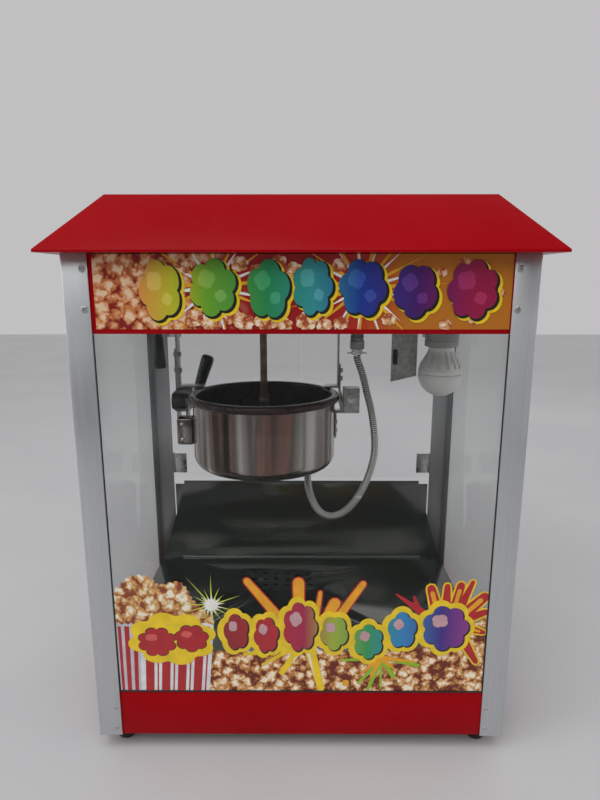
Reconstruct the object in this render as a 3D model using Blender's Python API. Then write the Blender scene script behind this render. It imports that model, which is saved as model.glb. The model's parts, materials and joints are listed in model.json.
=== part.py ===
"""Countertop popcorn machine: glazed cabinet, tilting kettle, stirrer, doors and crumb drawer.

Metres, +Z up. The origin is on the surface that the machine stands on, under the middle of the
cabinet. The glazed front faces -Y and the operator's doors face +Y.
"""
import math

import bmesh
import bpy
from mathutils import Matrix, Vector

# Driving dimensions of the cabinet
CABINET_WIDTH = 0.518
CABINET_DEPTH = 0.378
FOOT_HEIGHT = 0.022
POST_LENGTH = 0.600
POST_LEG = 0.029
POST_WALL = 0.0016
BASE_HEIGHT = 0.064
HEADER_DEPTH = 0.086
SHEET = 0.0012
GLASS = 0.003
GAP = 0.0003

# Driving dimensions of the roof
EAVE_WIDTH = 0.560
EAVE_DEPTH = 0.420
EAVE_LIP = 0.003
ROOF_INSET = 0.061
ROOF_RISE = 0.0615

# Driving dimensions of the kettle and its drive
KETTLE_X = -0.0535
TILT_AXIS_Z = 0.424
RIM_RADIUS = 0.1085
JACKET_RADIUS = 0.1018
RIM_TOP = 0.4367
BEAD_HEIGHT = 0.011
KETTLE_BOTTOM = 0.3315
PAN_FLOOR = 0.352
PAN_WALL = 0.002
SHAFT_RADIUS = 0.005
COUPLING_BALL = 0.0075
PIVOT_PIN = 0.004
STRAP = 0.002

# Driving dimensions of the floor, doors, lamp and conduit
FLOOR_TOP = 0.102
FLOOR_HALF_WIDTH = 0.250
APRON_Y = 0.1665
APRON_TOP = 0.2415
DOOR_THICKNESS = 0.004
LAMP_X = 0.189
LAMP_Y = -0.039
CONDUIT_X = 0.0787
CONDUIT_RADIUS = 0.0055

# Sizes that follow from the driving dimensions
HALF_WIDTH = CABINET_WIDTH / 2
HALF_DEPTH = CABINET_DEPTH / 2
POST_TOP = FOOT_HEIGHT + POST_LENGTH
PANEL_X = HALF_WIDTH - POST_WALL - GAP
PANEL_Y = HALF_DEPTH - POST_WALL - GAP
BASE_LOW = FOOT_HEIGHT + 0.0005
BASE_TOP = FOOT_HEIGHT + BASE_HEIGHT
HEADER_LOW = POST_TOP - HEADER_DEPTH
HEADER_TOP = POST_TOP - 0.0005
FLANGE = 0.012
HEADER_FLOOR_LOW = HEADER_LOW + SHEET + GAP
HEADER_FLOOR_TOP = HEADER_FLOOR_LOW + SHEET


# ---------------------------------------------------------------- modelling tools

def clear_scene():
    for thing in list(bpy.data.objects):
        bpy.data.objects.remove(thing, do_unlink=True)


def finish(name, colour, roughness, metallic=0.0, alpha=1.0):
    """A Principled material in the part's own colour."""
    material = bpy.data.materials.new(name)
    material.use_nodes = True
    shader = material.node_tree.nodes["Principled BSDF"]
    shader.inputs["Base Color"].default_value = (*colour, 1.0)
    shader.inputs["Roughness"].default_value = roughness
    shader.inputs["Metallic"].default_value = metallic
    shader.inputs["Alpha"].default_value = alpha
    return material


def red_paint(name):
    return finish(name, (0.30, 0.004, 0.012), 0.25)


def aluminium(name):
    return finish(name, (0.62, 0.63, 0.65), 0.4, 1.0)


def stainless(name):
    return finish(name, (0.45, 0.45, 0.44), 0.3, 1.0)


def zinc_steel(name):
    return finish(name, (0.36, 0.36, 0.34), 0.45, 1.0)


def clear_glass(name):
    return finish(name, (0.80, 0.88, 0.86), 0.03, 0.0, 0.2)


def black_plastic(name):
    return finish(name, (0.012, 0.012, 0.013), 0.3)


def make_object(name, bm, material, smooth=False, origin=(0.0, 0.0, 0.0)):
    """Turn a bmesh in world coordinates into an object whose origin is at the given point."""
    bmesh.ops.recalc_face_normals(bm, faces=bm.faces)
    bmesh.ops.translate(bm, vec=-Vector(origin), verts=bm.verts)
    mesh = bpy.data.meshes.new(name)
    bm.to_mesh(mesh)
    bm.free()
    if smooth:
        mesh.shade_smooth()
        mesh.set_sharp_from_angle(angle=math.radians(35))
    if material:
        mesh.materials.append(material)
    thing = bpy.data.objects.new(name, mesh)
    thing.location = origin
    bpy.context.scene.collection.objects.link(thing)
    return thing


def block(name, low, high, material, edge=0.0, origin=(0.0, 0.0, 0.0)):
    """A box between two corners, its edges rounded by the given width."""
    bm = bmesh.new()
    bmesh.ops.create_cube(bm, size=1.0)
    size = [h - l for l, h in zip(low, high)]
    middle = [(l + h) / 2 for l, h in zip(low, high)]
    bmesh.ops.scale(bm, vec=size, verts=bm.verts)
    bmesh.ops.translate(bm, vec=middle, verts=bm.verts)
    if edge:
        bmesh.ops.bevel(bm, geom=bm.edges, offset=edge, segments=2, profile=0.5, affect="EDGES")
    return make_object(name, bm, material, smooth=bool(edge), origin=origin)


def lay_out(axis, across, up, along):
    """Place outline coordinates in the world: the outline is (Y, Z), (X, Z) or (X, Y)."""
    if axis == "X":
        return (along, across, up)
    if axis == "Y":
        return (across, along, up)
    return (across, up, along)


def prism(name, outline, axis, low, high, material, smooth=False, origin=(0.0, 0.0, 0.0)):
    """Extrude an outline along an axis, from low to high."""
    bm = bmesh.new()
    start = [bm.verts.new(lay_out(axis, a, b, low)) for a, b in outline]
    bottom = bm.faces.new(start)
    run = bmesh.ops.extrude_face_region(bm, geom=[bottom], use_keep_orig=True)
    moved = [part for part in run["geom"] if isinstance(part, bmesh.types.BMVert)]
    shift = Vector(lay_out(axis, 0.0, 0.0, high - low))
    bmesh.ops.translate(bm, vec=shift, verts=moved)
    return make_object(name, bm, material, smooth=smooth, origin=origin)


def turned(name, profile, base, axis, material, sides=32, closed=False, origin=(0.0, 0.0, 0.0)):
    """Turn a profile of (radius, height) points about an axis that starts at base.

    An open profile starts and ends on the axis. A closed one makes a ring.
    """
    bm = bmesh.new()
    along = Vector(axis).normalized()
    turn = Vector((0, 0, 1)).rotation_difference(along).to_matrix()
    rings = []
    for radius, height in profile:
        if radius == 0.0:
            rings.append([bm.verts.new(Vector(base) + along * height)])
            continue
        ring = []
        for step in range(sides):
            angle = math.tau * step / sides
            point = Vector((radius * math.cos(angle), radius * math.sin(angle), height))
            ring.append(bm.verts.new(Vector(base) + turn @ point))
        rings.append(ring)
    pairs = list(zip(rings, rings[1:]))
    if closed:
        pairs.append((rings[-1], rings[0]))
    for first, second in pairs:
        for step in range(sides):
            after = (step + 1) % sides
            if len(first) == 1:
                bm.faces.new((first[0], second[step], second[after]))
            elif len(second) == 1:
                bm.faces.new((first[step], second[0], first[after]))
            else:
                bm.faces.new((first[step], second[step], second[after], first[after]))
    return make_object(name, bm, material, smooth=True, origin=origin)


def arc(centre, radius, start, stop, steps):
    """Points on an arc, angles in degrees."""
    points = []
    for step in range(steps + 1):
        angle = math.radians(start + (stop - start) * step / steps)
        points.append((centre[0] + radius * math.cos(angle), centre[1] + radius * math.sin(angle)))
    return points


def smooth_route(stations, per_span):
    """A Catmull-Rom curve through the stations, with a few points in each span."""
    points = [Vector(p) for p in stations]
    ends = [2 * points[0] - points[1]] + points + [2 * points[-1] - points[-2]]
    route = []
    for i in range(1, len(ends) - 2):
        a, b, c, d = ends[i - 1:i + 3]
        for step in range(per_span):
            t = step / per_span
            route.append(0.5 * (2 * b + (c - a) * t + (2 * a - 5 * b + 4 * c - d) * t ** 2
                                + (3 * b - a - 3 * c + d) * t ** 3))
    route.append(points[-1])
    return route


def rod(name, route, radius, material, resolution=2, origin=(0.0, 0.0, 0.0)):
    """A round rod along a route, as a curve with a bevel and filled caps."""
    curve = bpy.data.curves.new(name, "CURVE")
    curve.dimensions = "3D"
    curve.bevel_depth = radius
    curve.bevel_resolution = resolution
    curve.use_fill_caps = True
    spline = curve.splines.new("POLY")
    spline.points.add(len(route) - 1)
    for point, place in zip(spline.points, route):
        point.co = (*(Vector(place) - Vector(origin)), 1.0)
    curve.materials.append(material)
    thing = bpy.data.objects.new(name, curve)
    thing.location = origin
    bpy.context.scene.collection.objects.link(thing)
    return thing


def combine(target, tool, operation):
    """Cut a tool out of a target, or weld it on, and hide the tool."""
    step = target.modifiers.new(operation.lower(), "BOOLEAN")
    step.operation = operation
    step.solver = "EXACT"
    step.object = tool
    tool.hide_render = True
    tool.display_type = "WIRE"


def drill(target, centre, radius, axis, length, sides=20):
    """Drill a round hole whose middle is at centre."""
    half = Vector(axis).normalized() * length / 2
    profile = [(0.0, 0.0), (radius, 0.0), (radius, length), (0.0, length)]
    start = Vector(centre) - half
    hole = turned(f"{target.name}_hole_tool", profile, start, axis, None, sides)
    combine(target, hole, "DIFFERENCE")


# ---------------------------------------------------------------- frame and base

def corner_posts():
    """Four aluminium angles, open towards the middle of the cabinet."""
    corner_round = 0.0012
    for depth_name, depth_side in (("front", -1), ("rear", 1)):
        for side_name, side in (("left", -1), ("right", 1)):
            name = f"corner_post_{depth_name}_{side_name}"
            leg, wall = POST_LEG, POST_WALL
            outline = arc((corner_round, corner_round), corner_round, 180, 270, 3)
            outline += [(leg, 0.0), (leg, wall), (wall, wall), (wall, leg), (0.0, leg)]
            placed = [(side * (HALF_WIDTH - a), depth_side * (HALF_DEPTH - b)) for a, b in outline]
            prism(name, placed, "Z", FOOT_HEIGHT, POST_TOP, aluminium(name))


def channel(low, high, face, inwards):
    """Outline of a sheet folded into a C: a face with a top and a bottom flange."""
    inner = face + inwards * SHEET
    lip = face + inwards * FLANGE
    return [(face, low), (lip, low), (lip, low + SHEET), (inner, low + SHEET),
            (inner, high - SHEET), (lip, high - SHEET), (lip, high), (face, high)]


def base():
    side_span = PANEL_Y - FLANGE - GAP * 2
    front = channel(BASE_LOW, BASE_TOP, -PANEL_Y, 1)
    rear = channel(BASE_LOW, BASE_TOP, PANEL_Y, -1)
    prism("base_front_panel", front, "X", -PANEL_X, PANEL_X, red_paint("base_front_panel"))
    rear_panel = prism("base_rear_panel", rear, "X", -PANEL_X, PANEL_X, red_paint("base_rear_panel"))
    mouth_low = (DRAWER_LEFT - 0.0015, PANEL_Y - SHEET * 2, BASE_LOW + 0.003)
    mouth_high = (DRAWER_RIGHT + 0.0015, PANEL_Y + SHEET, DRAWER_TOP + 0.0015)
    mouth = block("drawer_mouth_tool", mouth_low, mouth_high, None)
    combine(rear_panel, mouth, "DIFFERENCE")
    for name, side in (("base_left_panel", -1), ("base_right_panel", 1)):
        outline = channel(BASE_LOW, BASE_TOP, side * PANEL_X, -side)
        prism(name, outline, "Y", -side_span, side_span, red_paint(name))
    plate_low = BASE_LOW + SHEET + GAP
    plate_x = PANEL_X - SHEET - GAP
    plate_y = PANEL_Y - SHEET - GAP
    block("bottom_plate", (-plate_x, -plate_y, plate_low), (plate_x, plate_y, plate_low + SHEET),
          zinc_steel("bottom_plate"))


def feet():
    """Turned rubber feet, screwed up under the bottom plate."""
    radius = 0.0115
    top = BASE_LOW + SHEET
    profile = [(0.0, 0.0), (radius - 0.002, 0.0), (radius, 0.002), (radius - 0.0008, top - GAP),
               (0.0, top - GAP)]
    for depth_name, y in (("front", -0.159), ("rear", 0.159)):
        for side_name, x in (("left", -0.233), ("right", 0.233)):
            name = f"foot_{depth_name}_{side_name}"
            rubber = finish(name, (0.015, 0.015, 0.015), 0.8)
            turned(name, profile, (x, y, 0.0), (0, 0, 1), rubber, 20)


# ---------------------------------------------------------------- floor, apron and drawer

HOLE_COLUMNS = 7
HOLE_ROWS = 4
HOLE_PITCH_X = 0.0184
HOLE_PITCH_Y = 0.0201
HOLE_RADIUS = 0.004
FIRST_HOLE = (-0.0968, 0.0419)
DRAWER_LEFT = -0.132
DRAWER_RIGHT = 0.048
DRAWER_FRONT = -0.100
DRAWER_LOW = BASE_LOW + SHEET * 2 + GAP * 3
DRAWER_TOP = 0.0735


def floor_pan():
    """An inverted stainless tray, with its skirt on the base flanges and a drilled field."""
    front = -(PANEL_Y - GLASS - GAP * 3)
    rear = APRON_Y - GAP
    low = BASE_TOP + GAP
    pan = block("floor_pan", (-FLOOR_HALF_WIDTH, front, low), (FLOOR_HALF_WIDTH, rear, FLOOR_TOP),
                stainless("floor_pan"))
    inner_low = (-FLOOR_HALF_WIDTH + SHEET, front + SHEET, low - 0.005)
    inner_high = (FLOOR_HALF_WIDTH - SHEET, rear - SHEET, FLOOR_TOP - SHEET)
    combine(pan, block("floor_hollow_tool", inner_low, inner_high, None), "DIFFERENCE")
    bm = bmesh.new()
    for row in range(HOLE_ROWS):
        for column in range(HOLE_COLUMNS):
            x = FIRST_HOLE[0] + column * HOLE_PITCH_X
            y = FIRST_HOLE[1] + row * HOLE_PITCH_Y
            place = Matrix.Translation((x, y, FLOOR_TOP))
            bmesh.ops.create_cone(bm, cap_ends=True, segments=12, radius1=HOLE_RADIUS,
                                  radius2=HOLE_RADIUS, depth=0.01, matrix=place)
    combine(pan, make_object("floor_holes_tool", bm, None), "DIFFERENCE")


def rear_apron():
    """Upright stainless sheet behind the floor, with a hemmed lip and two bent ears."""
    half = 0.2235
    lip_half = 0.208
    lip_rise = 0.0058
    low = BASE_TOP + GAP
    ear_low = FLOOR_TOP + GAP
    ear_apex = 0.200
    ear_tip = (0.2485, APRON_Y - 0.0145)
    outline = [(-half, low), (half, low), (half, APRON_TOP), (lip_half, APRON_TOP),
               (lip_half, APRON_TOP + lip_rise), (-lip_half, APRON_TOP + lip_rise),
               (-lip_half, APRON_TOP), (-half, APRON_TOP)]
    apron = prism("rear_apron", outline, "Y", APRON_Y, APRON_Y + SHEET, stainless("rear_apron"))
    shelf = block("apron_shelf_tool", (-half, APRON_Y + SHEET / 2, low), (half, PANEL_Y, low + SHEET), None)
    combine(apron, shelf, "UNION")
    for side in (-1, 1):
        root_x, root_y = side * (half - 0.004), APRON_Y + 0.0002
        front = [(root_x, root_y, ear_low), (side * ear_tip[0], ear_tip[1], ear_low), (root_x, root_y, ear_apex)]
        back = [(x, y + SHEET * 0.7, z) for x, y, z in front]
        bm = bmesh.new()
        verts = [bm.verts.new(p) for p in front + back]
        bm.faces.new(verts[:3])
        bm.faces.new(verts[3:])
        for i in range(3):
            j = (i + 1) % 3
            bm.faces.new((verts[i], verts[j], verts[j + 3], verts[i + 3]))
        combine(apron, make_object(f"apron_ear_tool_{side}", bm, None), "UNION")


def crumb_drawer():
    """Folded tray under the drilled field, with its face plate and pull behind the rear panel."""
    rear = PANEL_Y + GAP
    face_rear = rear + SHEET
    low, top = DRAWER_LOW, DRAWER_TOP
    steel = stainless("crumb_drawer")
    tray = block("crumb_drawer", (DRAWER_LEFT, DRAWER_FRONT, low), (DRAWER_RIGHT, rear + 0.0006, top), steel)
    hollow_low = (DRAWER_LEFT + SHEET, DRAWER_FRONT + SHEET, low + SHEET)
    hollow_high = (DRAWER_RIGHT - SHEET, rear - SHEET, top + 0.005)
    combine(tray, block("drawer_hollow_tool", hollow_low, hollow_high, None), "DIFFERENCE")
    face = block("drawer_face_tool", (DRAWER_LEFT - 0.014, rear, low + 0.003),
                 (DRAWER_RIGHT + 0.014, face_rear, top + 0.008), None)
    combine(tray, face, "UNION")
    middle = (DRAWER_LEFT + DRAWER_RIGHT) / 2
    pull_z = (low + top) / 2 + 0.006
    pull = [(face_rear - 0.0006, pull_z), (face_rear + 0.016, pull_z), (face_rear + 0.016, pull_z - 0.010),
            (face_rear + 0.0144, pull_z - 0.010), (face_rear + 0.0144, pull_z - 0.0016),
            (face_rear - 0.0006, pull_z - 0.0016)]
    combine(tray, prism("drawer_pull_tool", pull, "X", middle - 0.035, middle + 0.035, None), "UNION")


# ---------------------------------------------------------------- glazing, doors and hinges

def glazing():
    low = BASE_TOP + GAP
    high = HEADER_LOW - GAP
    front = -PANEL_Y + GAP
    block("front_glass", (-PANEL_X + GAP, front, low), (PANEL_X - GAP, front + GLASS, high),
          clear_glass("front_glass"))
    inner = PANEL_X - GLASS
    for name, side in (("left_glass", -1), ("right_glass", 1)):
        x = sorted((side * inner, side * PANEL_X))
        block(name, (x[0], front + GLASS + GAP, low), (x[1], PANEL_Y, high), clear_glass(name))


HINGE_X = 0.2290
HINGE_Y = HALF_DEPTH + 0.0035
HINGE_BARREL = 0.003
HINGE_HEIGHT = 0.036
HINGE_CENTRES = (("lower", 0.273), ("upper", 0.5165))
LEAF = 0.001
DOOR_LOW = 0.2485
DOOR_EDGE = 0.2275


def doors():
    """Two clear doors between the rear posts, each with a turned knob near the middle."""
    rear = HALF_DEPTH
    knob = [(0.0, 0.0), (0.0055, 0.0), (0.0045, 0.005), (0.0085, 0.009), (0.009, 0.013), (0.007, 0.0155),
            (0.0, 0.016)]
    for side_name, side in (("left", -1), ("right", 1)):
        axis = (side * HINGE_X, HINGE_Y, 0.0)
        x = sorted((side * DOOR_EDGE, side * 0.001))
        block(f"door_panel_{side_name}", (x[0], rear - DOOR_THICKNESS, DOOR_LOW), (x[1], rear, HEADER_LOW - 0.0005),
              clear_glass(f"door_panel_{side_name}"), origin=axis)
        turned(f"door_knob_{side_name}", knob, (side * 0.020, rear + GAP, 0.372), (0, 1, 0),
               black_plastic(f"door_knob_{side_name}"), 20, origin=axis)


def hinges():
    """Butt hinges on the rear faces of the posts: a leaf and its barrel."""
    for side_name, side in (("left", -1), ("right", 1)):
        for level, centre in HINGE_CENTRES:
            name = f"hinge_{level}_{side_name}"
            low, high = centre - HINGE_HEIGHT / 2, centre + HINGE_HEIGHT / 2
            leaf_y = HALF_DEPTH + GAP
            x = sorted((side * (HALF_WIDTH - 0.004), side * (HINGE_X + 0.0012)))
            chrome = finish(name, (0.55, 0.55, 0.55), 0.2, 1.0)
            leaf = block(name, (x[0], leaf_y, low), (x[1], leaf_y + LEAF, high), chrome)
            profile = [(0.0, 0.0), (HINGE_BARREL, 0.0), (HINGE_BARREL, HINGE_HEIGHT), (0.0, HINGE_HEIGHT)]
            barrel = turned(f"{name}_barrel_tool", profile, (side * HINGE_X, HINGE_Y, low), (0, 0, 1), None, 16)
            combine(leaf, barrel, "UNION")


# ---------------------------------------------------------------- header and roof

SWITCH_PLATE_X = 0.130
SWITCH_PITCH = 0.038
SWITCH_Z = 0.580
ROCKER_HALF_X = 0.0077
ROCKER_AXIS_Y = PANEL_Y - 0.004
ROCKER_REST = 8.0
GLAND = (-0.190, 0.566)
SWITCHES = (("motor", -1), ("heat", 0), ("light", 1))


def header():
    front = channel(HEADER_LOW, HEADER_TOP, -PANEL_Y, 1)
    rear = channel(HEADER_LOW, HEADER_TOP, PANEL_Y, -1)
    prism("header_front_panel", front, "X", -PANEL_X, PANEL_X, red_paint("header_front_panel"))
    panel = prism("control_panel", rear, "X", -PANEL_X, PANEL_X, red_paint("control_panel"))
    cut_half = (SWITCH_PITCH + 0.0105, 0.0140)
    cut_low = (SWITCH_PLATE_X - cut_half[0], PANEL_Y - 0.004, SWITCH_Z - cut_half[1])
    cut_high = (SWITCH_PLATE_X + cut_half[0], PANEL_Y + 0.002, SWITCH_Z + cut_half[1])
    combine(panel, block("switch_cut_tool", cut_low, cut_high, None), "DIFFERENCE")
    drill(panel, (GLAND[0], PANEL_Y, GLAND[1]), 0.0083, (0, 1, 0), 0.008)
    side_span = PANEL_Y - FLANGE - GAP * 2
    for name, side in (("header_left_panel", -1), ("header_right_panel", 1)):
        outline = channel(HEADER_LOW, HEADER_TOP, side * PANEL_X, -side)
        prism(name, outline, "Y", -side_span, side_span, red_paint(name))
    floor_x = PANEL_X - SHEET - GAP
    floor_y = PANEL_Y - SHEET - GAP
    plate = block("header_floor", (-floor_x, -floor_y, HEADER_FLOOR_LOW), (floor_x, floor_y, HEADER_FLOOR_TOP),
                  zinc_steel("header_floor"))
    drill(plate, (KETTLE_X, 0.0, HEADER_FLOOR_LOW), SHAFT_RADIUS + 0.002, (0, 0, 1), 0.01)


def roof():
    """Hipped roof of sheet steel: an outer and an inner skin, joined at the inward flange."""
    eave = POST_TOP + GAP
    ridge = eave + EAVE_LIP + ROOF_RISE
    half_x, half_y = EAVE_WIDTH / 2, EAVE_DEPTH / 2
    flange_x, flange_y = half_x - 0.055, half_y - 0.055
    skin = 0.0015
    rings = [
        (flange_x, flange_y, eave), (half_x, half_y, eave), (half_x, half_y, eave + EAVE_LIP),
        (half_x - ROOF_INSET, half_y - ROOF_INSET, ridge),
        (half_x - ROOF_INSET - skin / 2, half_y - ROOF_INSET - skin / 2, ridge - skin),
        (half_x - skin * 2, half_y - skin * 2, eave + skin), (flange_x, flange_y, eave + skin)]
    bm = bmesh.new()
    loops = []
    for x, y, z in rings:
        loops.append([bm.verts.new(p) for p in ((-x, -y, z), (x, -y, z), (x, y, z), (-x, y, z))])
    for first, second in zip(loops, loops[1:] + loops[:1]):
        if first is loops[3]:
            continue
        for i in range(4):
            j = (i + 1) % 4
            bm.faces.new((first[i], first[j], second[j], second[i]))
    bm.faces.new(loops[3])
    bm.faces.new(loops[4])
    make_object("roof", bm, red_paint("roof"))


def switches():
    """A black housing with three wells, and a rocker in each."""
    housing = black_plastic("switch_housing")
    half_x = SWITCH_PITCH + 0.0130
    flange = block("switch_housing", (SWITCH_PLATE_X - half_x, PANEL_Y + GAP, SWITCH_Z - 0.0165),
                   (SWITCH_PLATE_X + half_x, PANEL_Y + GAP + 0.0022, SWITCH_Z + 0.0165), housing)
    body = block("switch_body_tool", (SWITCH_PLATE_X - half_x + 0.003, PANEL_Y - 0.020, SWITCH_Z - 0.0136),
                 (SWITCH_PLATE_X + half_x - 0.003, PANEL_Y + 0.001, SWITCH_Z + 0.0136), None)
    combine(flange, body, "UNION")
    face = PANEL_Y + 0.0052
    outline = [(-0.0100, face), (0.0, face - 0.0028), (0.0100, face), (0.0088, ROCKER_AXIS_Y - 0.005),
               (-0.0088, ROCKER_AXIS_Y - 0.005)]
    turn = math.radians(ROCKER_REST)
    for name, place in SWITCHES:
        x = SWITCH_PLATE_X + place * SWITCH_PITCH
        well = block(f"switch_well_tool_{name}", (x - 0.0083, PANEL_Y - 0.014, SWITCH_Z - 0.0118),
                     (x + 0.0083, PANEL_Y + 0.006, SWITCH_Z + 0.0118), None)
        combine(flange, well, "DIFFERENCE")
        leaning = []
        for up, out in outline:
            away = out - ROCKER_AXIS_Y
            leaning.append((ROCKER_AXIS_Y + away * math.cos(turn) - up * math.sin(turn),
                            SWITCH_Z + away * math.sin(turn) + up * math.cos(turn)))
        prism(f"rocker_{name}", leaning, "X", x - ROCKER_HALF_X, x + ROCKER_HALF_X,
              black_plastic(f"rocker_{name}"), origin=(x, ROCKER_AXIS_Y, SWITCH_Z))


def cord_gland():
    """Screwed nylon gland for the mains lead, with its cable bore open to the rear."""
    profile = [(0.0, -0.008), (0.0080, -0.008), (0.0080, 0.0), (0.0115, 0.0), (0.0115, 0.005), (0.0095, 0.006),
               (0.0095, 0.013), (0.0070, 0.016), (0.0042, 0.016), (0.0042, 0.002), (0.0, 0.002)]
    turned("cord_gland", profile, (GLAND[0], PANEL_Y + GAP, GLAND[1]), (0, 1, 0),
           black_plastic("cord_gland"), 20)


def gear_motor():
    """Gearbox on the header floor with the motor standing on it."""
    low = HEADER_FLOOR_TOP + GAP
    box_top = low + 0.034
    steel = zinc_steel("gear_motor")
    box = block("gear_motor", (KETTLE_X - 0.040, -0.030, low), (KETTLE_X + 0.040, 0.030, box_top), steel, 0.003)
    can = [(0.0, -0.004), (0.027, -0.004), (0.027, 0.044), (0.023, 0.048), (0.0, 0.048)]
    motor = turned("motor_can_tool", can, (KETTLE_X + 0.008, 0.0, box_top), (0, 0, 1), None, 28)
    combine(box, motor, "UNION")


# ---------------------------------------------------------------- lamp and conduit

def lamp():
    """Lamp holder under the header, an LED bulb in it, and the shield plate beside it."""
    top = HEADER_FLOOR_LOW - GAP
    neck = 0.507
    holder = [(0.0, neck), (0.0200, neck), (0.0225, neck + 0.003), (0.0225, top - 0.004), (0.0245, top - 0.004),
              (0.0245, top), (0.0, top)]
    turned("lamp_holder", holder, (LAMP_X, LAMP_Y, 0.0), (0, 0, 1),
           finish("lamp_holder", (0.30, 0.30, 0.29), 0.6), 28)
    globe_z, globe = 0.4690, 0.030
    bulb = [(0.0, globe_z - globe)]
    bulb += arc((0.0, globe_z), globe, -78, 0, 7)
    bulb += [(globe, globe_z + 0.004), (0.0285, globe_z + 0.010), (0.0185, neck - 0.006), (0.0170, neck - GAP),
             (0.0, neck - GAP)]
    turned("lamp_bulb", bulb, (LAMP_X, LAMP_Y, 0.0), (0, 0, 1),
           finish("lamp_bulb", (0.80, 0.80, 0.78), 0.35), 28)
    y = LAMP_Y + 0.018
    plate = [(0.1245, 0.4555), (0.1600, 0.4640), (0.1600, top), (0.1245, top)]
    prism("lamp_shield", plate, "Y", y, y + SHEET, zinc_steel("lamp_shield"))


# Stations of the conduit between the fitting and the kettle, as (X, Z) in the plane Y = 0
CONDUIT_STATIONS = (
    (0.0787, 0.4900), (0.0800, 0.4830), (0.0875, 0.4620), (0.0950, 0.4330), (0.1010, 0.4100), (0.1065, 0.3740),
    (0.1070, 0.3440), (0.1000, 0.3130), (0.0880, 0.2840), (0.0700, 0.2590), (0.0480, 0.2470), (0.0280, 0.2540),
    (0.0150, 0.2770), (0.0100, 0.3000), (0.0090, 0.3240))


def conduit():
    """Screwed fitting under the header, and the flexible metal conduit down to the kettle."""
    top = HEADER_FLOOR_LOW - GAP
    profile = [(0.0, 0.4920), (0.0075, 0.4920), (0.0075, 0.4990), (0.0112, 0.4990), (0.0112, 0.5115),
               (0.0095, 0.5125), (0.0095, top), (0.0, top)]
    turned("conduit_fitting", profile, (CONDUIT_X, 0.0, 0.0), (0, 0, 1),
           finish("conduit_fitting", (0.20, 0.20, 0.20), 0.35, 1.0), 20)
    route = smooth_route([(x, 0.0, z) for x, z in CONDUIT_STATIONS], 3)
    rod("kettle_conduit", route, CONDUIT_RADIUS, zinc_steel("kettle_conduit"), 2)


# ---------------------------------------------------------------- kettle hanger and latch lever

STRAP_FRONT = 0.033
STRAP_REAR = 0.058
FOOT_LOW = RIM_TOP + 0.0008
LEFT_LEG = -0.1850
RIGHT_LEG = 0.0541
LEFT_FOOT_END = -0.1462
RIGHT_FOOT_END = 0.0350


def hangers():
    """Two flat straps from the header floor. Their feet lie over the rim and stop it tipping forwards."""
    top = HEADER_FLOOR_LOW - GAP
    tab = 0.018
    for name, leg, foot_end, side in (("hanger_left", LEFT_LEG, LEFT_FOOT_END, -1),
                                      ("hanger_right", RIGHT_LEG, RIGHT_FOOT_END, 1)):
        inner, outer = (leg + STRAP, leg) if side < 0 else (leg, leg + STRAP)
        outline = [(outer, FOOT_LOW), (outer, top - STRAP), (outer + side * tab, top - STRAP),
                   (outer + side * tab, top), (inner, top), (inner, FOOT_LOW + STRAP),
                   (foot_end, FOOT_LOW + STRAP), (foot_end, FOOT_LOW)]
        prism(name, outline, "Y", STRAP_FRONT, STRAP_REAR, zinc_steel(name))


def pivot_plates():
    """Plates bolted to the straps, which reach forwards to carry the kettle's pivot pins."""
    z = TILT_AXIS_Z
    nose = arc((0.0, z), 0.0115, 90, 270, 8)
    right = nose + [(STRAP_FRONT, z - 0.0115), (STRAP_REAR, z - 0.0115), (STRAP_REAR, 0.472),
                    (STRAP_FRONT, 0.472), (STRAP_FRONT, z + 0.0115)]
    low_x = RIGHT_LEG + STRAP + GAP
    plate = prism("pivot_plate_right", right, "X", low_x, low_x + STRAP, zinc_steel("pivot_plate_right"))
    drill(plate, (low_x, 0.0, z), PIVOT_PIN + GAP, (1, 0, 0), 0.01)
    left = [(STRAP_FRONT, 0.374), (STRAP_REAR, 0.374), (STRAP_REAR, 0.495), (STRAP_FRONT, 0.495)]
    high_x = LEFT_LEG - GAP
    prism("pivot_plate_left", left, "X", high_x - STRAP, high_x, zinc_steel("pivot_plate_left"))
    nose_radius = 0.0118
    bearing = arc((0.0, z), nose_radius, 90, 270, 10)
    bearing += [(0.020, z - 0.0200), (STRAP_REAR, z - 0.0200), (STRAP_REAR, z + nose_radius)]
    block_x = (high_x + GAP, -0.1665)
    arm = prism("pivot_bearing_left", bearing, "X", block_x[0], block_x[1],
                finish("pivot_bearing_left", (0.03, 0.03, 0.03), 0.5, 0.6))
    drill(arm, (block_x[1], 0.0, z), PIVOT_PIN + GAP, (1, 0, 0), 0.024)


LATCH_X = -0.2023
LATCH_PIVOT_Z = 0.5310
LATCH_STEM = 0.0105
LATCH_GRIP = 0.0485


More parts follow.
